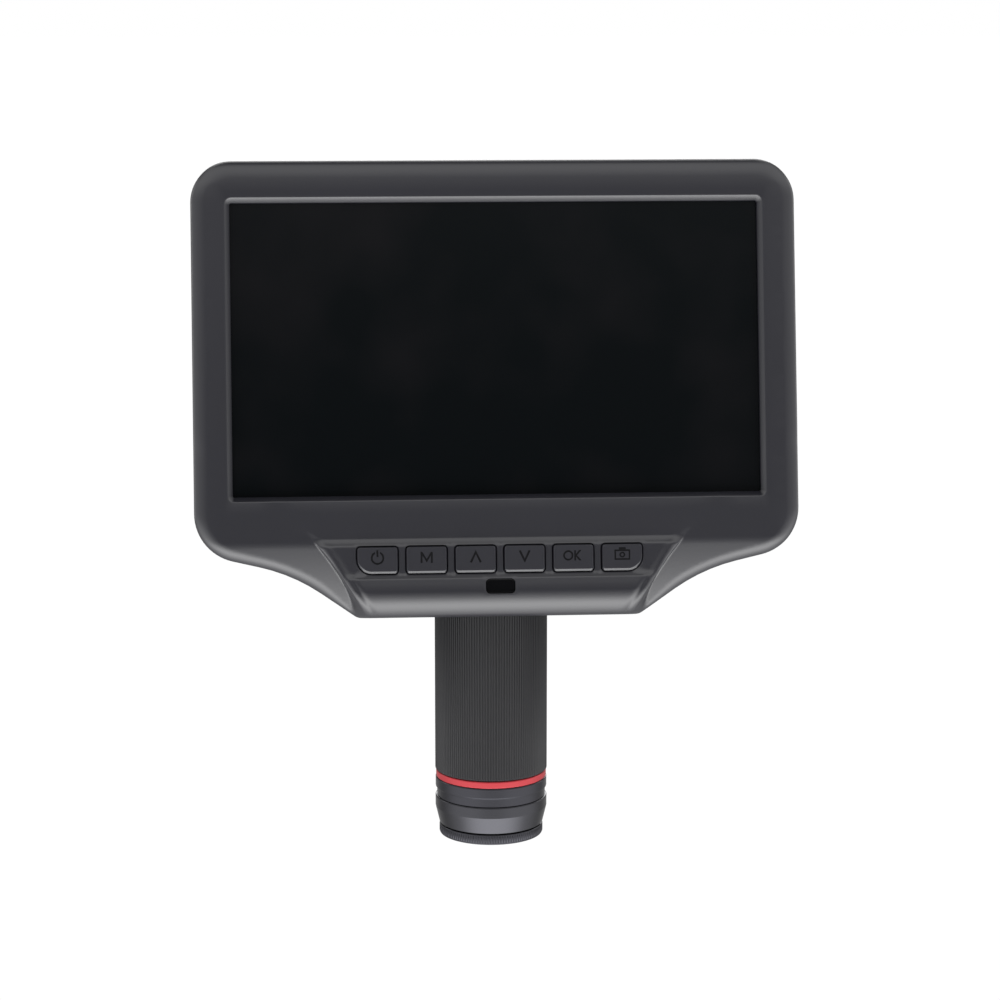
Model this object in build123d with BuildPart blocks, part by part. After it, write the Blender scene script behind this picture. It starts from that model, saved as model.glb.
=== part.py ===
from build123d import *
from math import copysign, cos, pi, radians, sin, sqrt
import os

os.makedirs("parts", exist_ok=True)

# Head of a digital microscope: a 7 inch screen housing that tilts on the lens barrel behind it.
# Millimetres. +Z runs up the optical axis, +X is to the viewer's right and -Y is towards the viewer.
# The origin is on the optical axis, half way up the smooth seat that a stand's ring clamps.

# ---- screen housing, seen square on: x across, h up from the bottom of the chin, z out of the front ----
screen_tilt = 11.5          # lean of the screen from the optical axis at rest, degrees
chin_to_axis = 43.0         # square distance from the front face to the optical axis, at the chin's bottom
chin_drop = 1.0             # chin's bottom edge below the middle of the clamp seat
housing_w = 177.0
opening_h = 86.1            # height of the screen opening
low_border, top_border, side_border = 35.25, 12.05, 11.3   # housing round the screen opening
housing_h = low_border + opening_h + top_border
housing_t = 21.0            # thickness behind the screen
chin_t = 13.5               # thickness behind the buttons, where the barrel needs room
slope_low, slope_high = 30.0, 37.0   # heights between which the back steps out
parting_z = 9.0             # depth of the line where bezel and rear cover meet
wall = 2.2
bezel_wall = 2.6
top_corner_r = 12.0
low_corner_r = 14.3
edge_r = 2.6                # roll of the front edge
back_edge_r = 2.4

# lower outline: half widths and heights of its corners before they are rounded
chin_foot_half = 41.4
chin_foot_r = 3.5
flank_half, flank_h = 60.2, 13.0
flank_r = 52.0
shoulder_h = 19.6

# screen opening and display
opening_w = housing_w - 2 * side_border
opening_mid_h = low_border + opening_h / 2
opening_chamfer = 1.6
gasket_t = 0.4
glass_t = 1.1
lcd_w, lcd_h, lcd_t = opening_w + 5.6, opening_h + 9.9, 4.2
gasket_lap = 0.5            # gasket stands back from the opening
lcd_frame_wall = 0.5
lcd_frame_back = 0.8

# keystone chin: it flares forward below the crease, with a sunk field for the buttons
crease_h = 22.8             # top edge of the keystone
facet_h = 21.5              # line where the face outside the keystone starts to fall back
facet_drop = 0.30           # fall per millimetre
crease_r = 8.0              # soft bend between the face and the facets
field_z = 1.2               # button field in front of the bezel's face
lip_z = 2.4                 # crest of the lip in front of the bezel's face
lip_r = 9.0                 # roll of the lip towards the chin's bottom
lip_start_h = 7.8
field_low_h = 12.2
field_top_h = 21.2
field_half = 42.4           # half width of the field at its lower edge
field_spread = 0.64         # widening of the field per millimetre of height
field_slope_w = 2.2         # width of the sloping sides of the field
field_room = 0.3            # height of cuts above the lip
lip_shoulder = 0.25         # lip's edge towards the field lies this far below its crest
key_root_z = -6.0           # level at which the keystone's flanks start
key_root_half = (41.3, 55.9)   # half widths at the chin's bottom and at the crease
key_top_half = (37.8, 52.4)

# buttons
button_names = ["power", "menu", "up", "down", "ok", "camera"]
button_w, button_h = 11.8, 7.8
button_pitch = 14.25
button_mid_h = 16.8
button_r = 1.0
button_end_r = 4.2
button_proud = 0.8
button_gap = 0.25
button_travel = 0.6
button_edge_r = 0.35
button_flange = 0.7         # flange that keeps a button in its hole
flange_t = 1.0
flange_gap = 0.1
sign_depth = 0.15
stem_r = 1.5
stem_play = 0.15
stem_in = 1.0               # stem reaches this far into its switch
switch_w, switch_t = 6.2, 3.5
board_t = 1.6
button_board_half = 41.5
button_board_h = (11.2, 21.0)
button_board_tab = (7.0, 6.0)   # half width and lowest height of the receiver's tab
board_rib_t, board_rib_w = 2.0, 7.0   # ribs of the cover that carry the button board
# half widths and heights of the pocket behind the buttons
chin_room = [(39.5, 5.5), (44.0, 12.0), (44.0, 19.0)]
display_room_h = 17.5       # lower edge of the room behind the screen

# infra-red window
window_w, window_h = 8.4, 4.2
window_mid_h = 8.9
window_r = 1.1
window_flange, window_flange_t = 0.7, 0.8
window_gap = 0.05
window_sink = 0.05          # window lies this far below the lip
receiver_w, receiver_t = 5.0, 3.4
receiver_dome_r, receiver_dome_sink = 1.6, 0.6

# case screws: distance from the middle, and height
case_screws_at = [(housing_w / 2 - 5.3, housing_h - 15.4), (housing_w / 2 - 5.3, 41.0),
                  (housing_w / 2 - 18.5, 23.6)]
case_boss_r = 2.3
boss_root = 0.4             # bosses grow this far out of the wall they stand on
case_screw_r = 0.9
screw_play = 0.15           # clearance round screws and their heads
screw_head_r, screw_head_t = 1.9, 1.2
screw_head_sink = 0.2
thread_grip = 3.6           # length of thread in the bezel's boss

# main board and its sockets
main_board_x = (-30.0, housing_w / 2 - 3.9)
main_board_h = (46.0, 112.0)
main_board_z = -12.4        # front face
post_r = 2.6
post_inset, post_far_inset = 5.0, 24.6   # posts stand this far inside the board's edges
board_posts_at = [(x, height) for x in (main_board_x[0] + post_inset, main_board_x[1] - post_far_inset)
                  for height in (main_board_h[0] + post_inset, main_board_h[1] - post_inset)]
# chips: distance right of and above the board's corner, width and height
front_chips = [(35.0, 46.0, 24.0, 20.0), (62.0, 20.0, 13.0, 9.0), (62.0, 38.0, 13.0, 9.0)]
back_chips = [(50.0, 14.0, 18.0, 5.0), (18.0, 24.0, 7.0, 7.0), (18.0, 38.0, 7.0, 7.0)]
front_chip_t, back_chip_t = 1.2, 2.4
socket_back = 0.9           # sockets stop this far inside the case's side
socket_depth = 10.0
sockets = {                 # height, width along the side, thickness
    "video_socket": (92.0, 11.4, 3.2),
    "usb_socket": (75.0, 7.9, 2.9),
    "card_socket": (60.0, 13.2, 1.9),
}
socket_wall = 0.4
socket_deep = 0.7           # share of a socket's depth that is open
socket_play = 0.3           # room round a socket's mouth
tongue_w, tongue_t, tongue_sink = 0.6, 0.3, 1.0   # tongue: shares of the mouth, and its depth
vent_count, vent_pitch = 11, 5.0
vent_w, vent_h = 1.6, 12.0
vent_mid_h = 112.0

# ---- hinge between the screen and the head casing ----
hinge_h = 46.0              # height on the housing
hinge_back = 10.0           # distance behind the housing's back
hinge_r = 7.2
knuckle_half = 13.4
friction_t = 0.5
hinge_play = 0.1
ear_w = 4.0
bracket_w, bracket_h, bracket_t = 48.0, 17.0, 2.0
pin_r = 2.0
pin_play = 0.06
pin_seat_play = 0.02        # clearance of what turns with the pin
pin_head_r, pin_head_t, pin_head_edge_r = 3.6, 1.6, 0.5
pin_end = 0.6               # pin stands out of its nut
nut_across, nut_t = 7.0, 2.4
bracket_corner_r = 2.0
bracket_screw_x, bracket_screw_h = 20.6, 5.4
washer_step = 0.6           # washers are this much smaller than the knuckle

# ---- barrel, from the lens end up ----
seat_r = 17.3
seat_len = 12.0
grip_r = 17.2
grip_len = 51.65
grip_root_r = 15.9
rib_count = 132
rib_depth = 0.45
ring_gap = 0.3              # gap at each end of the turning ring
accent_r, accent_t, accent_edge = 16.95, 2.1, 0.25
collar_r, collar_t = 17.1, 3.35
nose_edge = 0.3
neck_r, neck_t = 16.65, 2.6
taper_r, taper_band_t = 17.15, 3.4
taper_end_r, taper_t = 15.9, 5.2
filter_gap = 0.4
filter_r, filter_t = 15.95, 3.1
filter_teeth = 120
filter_tooth = 0.15
filter_bore_r = 12.4
filter_stem_r, filter_stem_len = 13.9, 3.0
front_glass_r, front_glass_t = 13.1, 1.5
front_glass_sink = 1.0      # glass lies this far inside the lens end

tube_r = 14.4
tube_bore_r = 12.6
slide_play = 0.1            # running clearance of turning and sliding barrel parts
fit_play = 0.05             # clearance of barrel parts that are screwed together
tube_tail = 7.95            # length of tube inside the nose
spigot_r, spigot_len = 16.2, 3.0
lens_shelf_r, lens_shelf_t = 11.4, 2.0

# focus drive: a pin on the lens cell runs in a straight slot in the tube and a helical slot in the sleeve
focus_lead = 12.0           # lens travel for one full turn
focus_angle = 270.0
cam_r = 1.2
cam_pin_r = 15.6            # how far out the pin reaches
cam_play = 0.15
cam_end_angle = 8.0         # helical slot beyond the pin's last places
sleeve_bore_r = 14.9
land_len = 4.0
cell_r = tube_bore_r - slide_play
cell_len = 14.0
cell_low = -46.0            # lower end of the lens cell at rest
cell_bore_r = 10.6
cell_stop_r = 8.6
lens_t = 3.2
lens_r = 10.5
lens_seat_t = 1.5           # half the height of the stop that both moving lenses rest on
ring_t = 1.6
fixed_lens_t = 3.4
fixed_lens_face_r = 11.2
fixed_bulges = (0.9, 2.0)   # how far its lower and upper faces bulge
lens_bulges = (0.6, 0.9)    # bulges of the moving lenses, at the stop and away from it
cam_pin_sink = 0.4          # pin ends this far outside the stop's bore

# camera inside the head casing
casing_r = 18.5
casing_wall = 2.2
casing_top = 20.0           # top of the round part of the casing
neck_z = 30.0               # height where the shoulders have drawn in to the knuckle's neck
neck_corner_r = 3.0
casing_edge_r = 0.8
knuckle_edge = 0.5
casing_room = 13.5          # height of the hollow above the seat
sensor_board_r = 15.9
sensor_plug = (8.0, 12.0, 4.0)      # plug on the sensor board: place, width and height
sensor_chips = (5.0, -4.0, 5.0)     # chips beside the axis: distance, place and size
sensor_part_t = 1.4
sensor_w, sensor_t = 9.0, 1.2
sensor_screw_head_r, sensor_screw_head_t = 1.5, 0.9
holder_w, holder_wall, holder_len = 14.0, 1.8, 5.4
holder_base = 1.0
cut_filter_t = 0.6
grub_r, grub_len = 1.0, 2.0
grub_z = 1.6                # height of the grub screws above the seat
grub_angles = (90, 210, 330)
sensor_screw_len = 2.5
sensor_screw_play = 0.5     # depth left under these screws

# ---- frames and heights worked out from the sizes above ----
lean = radians(screen_tilt)
chin_foot = Vector(0, -chin_to_axis * cos(lean), -chin_drop)
screen = Plane(origin=chin_foot, x_dir=(1, 0, 0), z_dir=(0, -cos(lean), sin(lean)))
across = Plane(origin=chin_foot, x_dir=screen.y_dir, z_dir=(1, 0, 0))   # its x is h and its y is z

seat_bottom = -seat_len / 2
seat_top = seat_len / 2
grip_top = seat_bottom - ring_gap
grip_bottom = grip_top - grip_len
accent_top = grip_bottom - ring_gap
accent_bottom = accent_top - accent_t
collar_bottom = accent_bottom - collar_t
neck_bottom = collar_bottom - neck_t
taper_band_bottom = neck_bottom - taper_band_t
taper_bottom = taper_band_bottom - taper_t
filter_top = taper_bottom - filter_gap
filter_bottom = filter_top - filter_t
front_glass_low = filter_bottom + front_glass_sink
tube_bottom = accent_bottom - tube_tail
cell_top = cell_low + cell_len
cam_z = cell_low + cell_len / 2
focus_travel = focus_lead * focus_angle / 360

hinge_z = -(housing_t + hinge_back)
hinge_axis = screen.from_local_coords((0, hinge_h, hinge_z))
hinge_plane = Plane(origin=hinge_axis, x_dir=screen.y_dir, z_dir=(1, 0, 0))
ear_inner = knuckle_half + hinge_play + friction_t
ear_outer = ear_inner + ear_w

opening_plane_z = -bezel_wall
glass_z = opening_plane_z - gasket_t
lcd_z = glass_z - glass_t
lcd_back_z = lcd_z - lcd_t
chin_room_z = -2.5          # inner face of the chin's front wall
turned_back = Location((0, 0, 0), (0, 180, 0))   # holes drilled from the back
switch_base_z = -8.6
switch_top_z = switch_base_z + switch_t


def back_z(height):
    """Depth of the housing's back at a height on the screen."""
    if height <= slope_low:
        return -chin_t
    if height >= slope_high:
        return -housing_t
    return -chin_t - (housing_t - chin_t) * (height - slope_low) / (slope_high - slope_low)


def side_plane(x, height, z):
    """Plane that faces right, about a point given as x, h and z on the screen."""
    return Plane(origin=screen.from_local_coords((x, height, z)), x_dir=screen.y_dir, z_dir=(1, 0, 0))


def face_plane(x, height, z):
    """Plane that faces the viewer, about a point given as x, h and z on the screen."""
    return Plane(origin=screen.from_local_coords((x, height, z)), x_dir=(1, 0, 0), z_dir=screen.z_dir)


def in_screen(shape):
    """Centre of a shape as x, h and z on the screen."""
    return screen.to_local_coords(shape.center())


def circles(piece, radius):
    """Circular edges of a piece that have a radius."""
    return piece.edges().filter_by(GeomType.CIRCLE).filter_by(lambda e: abs(e.radius - radius) < 0.01)


def save(piece, name):
    piece.part.label = name
    export_step(piece.part, f"parts/{name}.step")


def housing_outline(inset=0.0):
    """Outline of the housing in the current sketch: a rounded rectangle that narrows to the chin."""
    half = housing_w / 2
    right = [(chin_foot_half, 0), (flank_half, flank_h), (half, shoulder_h), (half, housing_h)]
    with BuildSketch(mode=Mode.PRIVATE) as outline:
        with BuildLine():
            Polyline(*right, *[(-x, y) for x, y in reversed(right)], close=True)
        make_face()
        for x, r in ((chin_foot_half, chin_foot_r), (flank_half, flank_r)):
            fillet([v for v in outline.vertices() if abs(abs(v.X) - x) < 0.01], r)
        fillet([v for v in outline.vertices() if v.Y > housing_h - 0.01], top_corner_r)
        fillet([v for v in outline.vertices() if abs(v.Y - shoulder_h) < 0.01], low_corner_r)
        if inset:
            offset(amount=-inset, kind=Kind.INTERSECTION, mode=Mode.REPLACE)
    add(outline.sketch)


def profile(*points):
    """Closed outline of (h, z) points in a sketch on the plane across the screen."""
    with BuildLine() as path:
        Polyline(*points, close=True)
    make_face(path.edges())


def disc_stack(*steps):
    """Revolved solid about the optical axis from (inner r, outer r, bottom, top) steps."""
    with BuildSketch(Plane.XZ) as section:
        for inner, outer, bottom, top in steps:
            with Locations(((inner + outer) / 2, (bottom + top) / 2)):
                Rectangle(outer - inner, top - bottom)
    revolve(section.sketch, axis=Axis.Z)


# ---------------------------------------------------------------- front bezel
def chin_skin(sink=0.0):
    """Side view of the keystone: step out to the field, rise to the lip, roll towards the bottom."""
    roll_z = lip_z - lip_r + sqrt(lip_r ** 2 - lip_start_h ** 2)
    mid_h = lip_start_h / 2
    mid_z = lip_z - lip_r + sqrt(lip_r ** 2 - (lip_start_h - mid_h) ** 2)
    with BuildLine() as path:
        Polyline((0, -parting_z), (crease_h, -parting_z), (crease_h, -sink), (field_top_h, field_z - sink),
                 (field_low_h, lip_z - lip_shoulder - sink), (lip_start_h, lip_z - sink))
        ThreePointArc((lip_start_h, lip_z - sink), (mid_h, mid_z - sink), (0, roll_z - sink))
        Line((0, roll_z - sink), (0, -parting_z))
    make_face(path.edges())


with BuildPart() as keystone:
    for level, (low_half, high_half) in ((key_root_z, key_root_half), (lip_z + field_room, key_top_half)):
        with BuildSketch(screen.offset(level)):
            with BuildLine():
                Polyline((-low_half, 0), (low_half, 0), (high_half, crease_h), (-high_half, crease_h),
                         close=True)
            make_face()
    loft()
    with BuildSketch(across):
        chin_skin()
    extrude(amount=housing_w / 2, both=True, mode=Mode.INTERSECT)
    with BuildSketch(screen.offset(key_root_z)):
        housing_outline()
    extrude(amount=lip_z + 1 - key_root_z, mode=Mode.INTERSECT)
    # sunk field for the buttons, open towards the crease, with sloping sides
    for level, grow in ((field_z, 0.0), (lip_z + field_room, field_slope_w)):
        low_h = field_low_h - grow / 2
        low_half = field_half + grow
        high_half = low_half + field_spread * (crease_h + 1 - field_low_h)
        with BuildSketch(screen.offset(level)):
            with BuildLine():
                Polyline((-low_half, low_h), (low_half, low_h), (high_half, crease_h + 1),
                         (-high_half, crease_h + 1), close=True)
            make_face()
    loft(mode=Mode.SUBTRACT)


def button_outline(index, grow=0.0):
    """Outline of one button; the outer low corner of each end button is well rounded."""
    x = (index - (len(button_names) - 1) / 2) * button_pitch
    low = button_mid_h - button_h / 2
    half_w, half_h = button_w / 2 + grow, button_h / 2 + grow
    with BuildSketch(mode=Mode.PRIVATE) as shape:
        with Locations((x, button_mid_h)):
            Rectangle(2 * half_w, 2 * half_h)
        corners = shape.vertices()
        big = []
        if index in (0, len(button_names) - 1):
            side = -1 if index == 0 else 1
            big = [v for v in corners if v.Y < low + button_h / 2 and (v.X - x) * side > 0]
            fillet(big, button_end_r + grow)
        rest = [v for v in corners if not any((v.center() - b.center()).length < 0.01 for b in big)]
        kept = [v for v in shape.vertices() if any((v.center() - r.center()).length < 0.01 for r in rest)]
        fillet(kept, button_r + grow)
    add(shape.sketch)


with BuildPart() as front_bezel:
    with BuildSketch(screen.offset(-parting_z)):
        housing_outline()
    extrude(amount=parting_z)
    with BuildSketch(across):
        # the face outside the keystone falls back towards the flanks
        deep = facet_drop * (facet_h + 5)
        profile((facet_h, 0), (-5, -deep), (-5, 5), (facet_h, 5))
    extrude(amount=housing_w / 2 + 1, both=True, mode=Mode.SUBTRACT)
    creases = [e for e in front_bezel.edges().filter_by(Axis.X) if abs(in_screen(e).Y - facet_h) < 0.01
               and abs(in_screen(e).Z) < 0.01]
    fillet(creases, crease_r)
    front = [f for f in front_bezel.faces() if f.normal_at().dot(screen.z_dir) > 0.9]
    sides = [e for f in front_bezel.faces() if abs(f.normal_at().dot(screen.z_dir)) < 0.1 for e in f.edges()]
    fillet([e for f in front for e in f.edges() if any(e.is_same(side) for side in sides)], edge_r)
    add(keystone.part)
    # screen opening
    with BuildSketch(screen):
        with Locations((0, opening_mid_h)):
            Rectangle(opening_w, opening_h)
    extrude(amount=-parting_z, mode=Mode.SUBTRACT)
    rim = [e for e in front_bezel.edges() if abs(in_screen(e).Z) < 0.01
           and abs(in_screen(e).X) < opening_w / 2 + 0.1
           and abs(in_screen(e).Y - opening_mid_h) < opening_h / 2 + 0.1]
    chamfer(rim, opening_chamfer)
    # room for the display, and a deeper pocket behind the buttons
    with BuildSketch(screen.offset(-parting_z)):
        housing_outline(bezel_wall)
        Rectangle(housing_w, 2 * display_room_h, mode=Mode.SUBTRACT)
    extrude(amount=parting_z - bezel_wall, mode=Mode.SUBTRACT)
    with BuildSketch(screen.offset(-parting_z)):
        with BuildLine():
            Polyline(*chin_room, *[(-x, height) for x, height in reversed(chin_room)], close=True)
        make_face()
    extrude(amount=parting_z + chin_room_z, mode=Mode.SUBTRACT)
    # bosses for the case screws
    with BuildSketch(screen.offset(-parting_z)):
        for x, height in case_screws_at:
            with Locations((x, height), (-x, height)):
                Circle(case_boss_r)
    extrude(amount=parting_z - bezel_wall + boss_root)
    with BuildSketch(screen.offset(-parting_z)):
        for x, height in case_screws_at:
            with Locations((x, height), (-x, height)):
                Circle(case_screw_r)
    extrude(amount=thread_grip + boss_root, mode=Mode.SUBTRACT)
    # holes for the buttons and the infra-red window
    with BuildSketch(screen.offset(chin_room_z - 1)):
        for i in range(len(button_names)):
            button_outline(i, button_gap)
        with Locations((0, window_mid_h)):
            RectangleRounded(window_w + 2 * window_gap, window_h + 2 * window_gap, window_r)
    extrude(amount=lip_z - chin_room_z + 2, mode=Mode.SUBTRACT)
save(front_bezel, "front_bezel")


# ---------------------------------------------------------------- rear cover
def under_slope(inset=0.0):
    """Side view of what is cut away behind the chin, in (h, z)."""
    low, high = -chin_t + inset, -housing_t + inset
    profile((-5, low), (slope_low - inset / 2, low), (slope_high - inset / 2, high), (slope_high, 2 * high),
            (-5, 2 * high))


with BuildPart() as cover_room:
    with BuildSketch(screen.offset(-parting_z)):
        housing_outline(wall)
    extrude(amount=-(housing_t - wall - parting_z))
    with BuildSketch(across):
        under_slope(wall)
    extrude(amount=housing_w, both=True, mode=Mode.SUBTRACT)

with BuildPart() as rear_cover:
    with BuildSketch(screen.offset(-parting_z)):
        housing_outline()
    extrude(amount=-(housing_t - parting_z))
    with BuildSketch(across):
        under_slope()
    extrude(amount=housing_w, both=True, mode=Mode.SUBTRACT)
    folds = [e for e in rear_cover.edges().filter_by(Axis.X) if abs(in_screen(e).Y - slope_low) < 0.01
             or abs(in_screen(e).Y - slope_high) < 0.01]
    fillet(folds, back_edge_r * 2)
    sides = [e for f in rear_cover.faces() if abs(f.normal_at().dot(screen.z_dir)) < 0.01 for e in f.edges()]
    backs = [f for f in rear_cover.faces() if f.normal_at().dot(screen.z_dir) < -0.6]
    fillet([e for f in backs for e in f.edges() if any(e.is_same(side) for side in sides)], back_edge_r)
    add(cover_room.part, mode=Mode.SUBTRACT)
    # bosses for the case screws, posts for the main board and ribs behind the button board
    for x, height in case_screws_at:
        for side in (-1, 1):
            with BuildSketch(screen.offset(-parting_z)):
                with Locations((side * x, height)):
                    Circle(case_boss_r)
            extrude(amount=back_z(height) + parting_z + wall / 2)
    for x, height in board_posts_at:
        with BuildSketch(screen.offset(main_board_z - board_t)):
            with Locations((x, height)):
                Circle(post_r)
        extrude(amount=-(housing_t - wall / 2 + main_board_z - board_t))
    with BuildSketch(screen.offset(switch_base_z - board_t)):
        for side in (-1, 1):
            with Locations((side * button_pitch, button_mid_h)):
                Rectangle(board_rib_t, board_rib_w)
    extrude(amount=-(chin_t - wall / 2 + switch_base_z - board_t))
    # screw holes with sunk heads
    for x, height in case_screws_at:
        for side in (-1, 1):
            with Locations(face_plane(side * x, height, back_z(height)).location * turned_back):
                CounterBoreHole(case_screw_r + screw_play, screw_head_r + screw_play,
                                screw_head_t + screw_head_sink, depth=2 * housing_t)
    for x, height in board_posts_at:
        with Locations(face_plane(x, height, main_board_z - board_t).location):
            Hole(case_screw_r, depth=thread_grip)
    for side in (-1, 1):
        for up in (-1, 1):
            height = hinge_h + up * bracket_screw_h
            with Locations(face_plane(side * bracket_screw_x, height, -housing_t).location * turned_back):
                Hole(case_screw_r, depth=wall)
    # holes for the sockets in the right side, and the vents
    for height, width, thick in sockets.values():
        with BuildSketch(side_plane(housing_w / 2 + 1, height, main_board_z - board_t - thick / 2)):
            Rectangle(width + 2 * socket_play, thick + 2 * socket_play)
        extrude(amount=-wall - 2, mode=Mode.SUBTRACT)
    with BuildSketch(screen.offset(-housing_t)):
        with Locations((0, vent_mid_h)):
            with GridLocations(vent_pitch, 1, vent_count, 1):
                SlotOverall(vent_h, vent_w, rotation=90)
    extrude(amount=wall, mode=Mode.SUBTRACT)
save(rear_cover, "rear_cover")

# ---------------------------------------------------------------- display
with BuildPart() as lcd_gasket:
    with BuildSketch(screen.offset(opening_plane_z)):
        with Locations((0, opening_mid_h)):
            Rectangle(lcd_w, lcd_h)
            Rectangle(opening_w + 2 * gasket_lap, opening_h + 2 * gasket_lap, mode=Mode.SUBTRACT)
    extrude(amount=-gasket_t)
save(lcd_gasket, "lcd_gasket")

with BuildPart() as screen_glass:
    with BuildSketch(screen.offset(glass_z)):
        with Locations((0, opening_mid_h)):
            Rectangle(lcd_w, lcd_h)
    extrude(amount=-glass_t)
save(screen_glass, "screen_glass")

with BuildPart() as lcd_panel:
    with BuildSketch(screen.offset(lcd_z)):
        with Locations((0, opening_mid_h)):
            Rectangle(lcd_w, lcd_h)
    extrude(amount=-lcd_t)
save(lcd_panel, "lcd_panel")

with BuildPart() as lcd_frame:
    with BuildSketch(screen.offset(lcd_back_z)):
        with Locations((0, opening_mid_h)):
            Rectangle(lcd_w + 2 * lcd_frame_wall, lcd_h + 2 * lcd_frame_wall)
    extrude(amount=-lcd_frame_back)
    extrude(lcd_frame.faces().filter_by(lambda f: f.normal_at().dot(screen.z_dir) > 0.9), amount=lcd_t)
    with BuildSketch(screen.offset(lcd_back_z)):
        with Locations((0, opening_mid_h)):
            Rectangle(lcd_w, lcd_h)
    extrude(amount=lcd_t, mode=Mode.SUBTRACT)
save(lcd_frame, "lcd_frame")

# ---------------------------------------------------------------- main board and sockets
board_mid_x, board_mid_h = sum(main_board_x) / 2, sum(main_board_h) / 2
with BuildPart() as main_board:
    with BuildSketch(screen.offset(main_board_z)):
        with Locations((board_mid_x, board_mid_h)):
            Rectangle(main_board_x[1] - main_board_x[0], main_board_h[1] - main_board_h[0])
        for x, height in board_posts_at:
            with Locations((x, height)):
                Circle(case_screw_r + screw_play, mode=Mode.SUBTRACT)
    extrude(amount=-board_t)
save(main_board, "main_board")

with BuildPart() as board_chips:
    for level, chips, rise in ((main_board_z, front_chips, front_chip_t),
                               (main_board_z - board_t, back_chips, -back_chip_t)):
        with BuildSketch(screen.offset(level)):
            for right, up, width, height in chips:
                with Locations((main_board_x[0] + right, main_board_h[0] + up)):
                    Rectangle(width, height)
        extrude(amount=rise)
save(board_chips, "board_chips")

for name, (height, width, thick) in sockets.items():
    mouth = side_plane(housing_w / 2 - socket_back, height, main_board_z - board_t - thick / 2)
    with BuildPart() as socket:
        with BuildSketch(mouth):
            Rectangle(width, thick)
        extrude(amount=-socket_depth)
        with BuildSketch(mouth):
            Rectangle(width - 2 * socket_wall, thick - 2 * socket_wall)
        extrude(amount=-socket_depth * socket_deep, mode=Mode.SUBTRACT)
        with BuildSketch(mouth.offset(-tongue_sink)):
            Rectangle(width * tongue_w, (thick - 2 * socket_wall) * tongue_t)
        extrude(amount=-socket_depth * socket_deep)
    save(socket, name)


with BuildPart() as case_screws:
    for x, height in case_screws_at:
        for side in (-1, 1):
            under_head = back_z(height) + screw_head_t + screw_head_sink
            seat = face_plane(side * x, height, under_head)
            with BuildSketch(seat):
                Circle(screw_head_r)
            extrude(amount=-screw_head_t)
            with BuildSketch(seat):
                Circle(case_screw_r)
            extrude(amount=-under_head - parting_z + thread_grip)
save(case_screws, "case_screws")

with BuildPart() as board_screws:
    for x, height in board_posts_at:
        seat = face_plane(x, height, main_board_z)
        with BuildSketch(seat):
            Circle(screw_head_r)
        extrude(amount=screw_head_t)
        with BuildSketch(seat):
            Circle(case_screw_r)
        extrude(amount=-thread_grip)
save(board_screws, "board_screws")

# ---------------------------------------------------------------- buttons
with BuildPart() as button_board:
    with BuildSketch(screen.offset(switch_base_z)):
        low, high = button_board_h
        tab_half, tab_low = button_board_tab
        with Locations((0, (low + high) / 2)):
            Rectangle(2 * button_board_half, high - low)
        with Locations((0, (tab_low + high) / 2)):
            Rectangle(2 * tab_half, high - tab_low)
    extrude(amount=-board_t)
save(button_board, "button_board")

with BuildPart() as tact_switches:
    with BuildSketch(screen.offset(switch_base_z)):
        with Locations((0, button_mid_h)):
            with GridLocations(button_pitch, 1, len(button_names), 1):
                Rectangle(switch_w, switch_w)
    extrude(amount=switch_t)
    with BuildSketch(screen.offset(switch_top_z)):
        with Locations((0, button_mid_h)):
            with GridLocations(button_pitch, 1, len(button_names), 1):
                Circle(stem_r + stem_play)
    extrude(amount=-3 * button_travel, mode=Mode.SUBTRACT)
save(tact_switches, "tact_switches")


def button_sign(name):
    """Sunk sign on a button, in its own sketch about the button's middle."""
    if name == "power":
        with BuildSketch(mode=Mode.PRIVATE) as sign:
            Circle(1.9)
            Circle(1.5, mode=Mode.SUBTRACT)
            with Locations((0, 1.8)):
                Rectangle(1.4, 1.4, mode=Mode.SUBTRACT)
            with Locations((0, 1.4)):
                Rectangle(0.4, 1.8)
    elif name == "menu":
        with BuildSketch(mode=Mode.PRIVATE) as sign:
            with BuildLine():
                Polyline((-1.7, -1.6), (-1.7, 1.6), (-1.2, 1.6), (0, -0.4), (1.2, 1.6), (1.7, 1.6),
                         (1.7, -1.6), (1.25, -1.6), (1.25, 0.7), (0, -1.3), (-1.25, 0.7), (-1.25, -1.6),
                         close=True)
            make_face()
    elif name in ("up", "down"):
        flip = 1 if name == "up" else -1
        with BuildSketch(mode=Mode.PRIVATE) as sign:
            with BuildLine():
                Polyline((-2.0, -0.9 * flip), (0, 1.1 * flip), (2.0, -0.9 * flip), (1.7, -1.2 * flip),
                         (0, 0.5 * flip), (-1.7, -1.2 * flip), close=True)
            make_face()
    elif name == "ok":
        with BuildSketch(mode=Mode.PRIVATE) as sign:
            with Locations((-1.6, 0)):
                Circle(1.4)
                Circle(1.05, mode=Mode.SUBTRACT)
            with Locations((0.45, 0)):
                Rectangle(0.4, 2.8)
            with Locations((1.35, 0.65)):
                Rectangle(0.4, 2.2, rotation=-45)
            with Locations((1.35, -0.65)):
                Rectangle(0.4, 2.2, rotation=45)
    else:
        with BuildSketch(mode=Mode.PRIVATE) as sign:
            Rectangle(4.6, 3.0)
            with Locations((0, 1.7)):
                Rectangle(2.0, 0.9)
            Rectangle(3.9, 2.3, mode=Mode.SUBTRACT)
            Circle(0.95)
            Circle(0.6, mode=Mode.SUBTRACT)
    add(sign.sketch)


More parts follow.
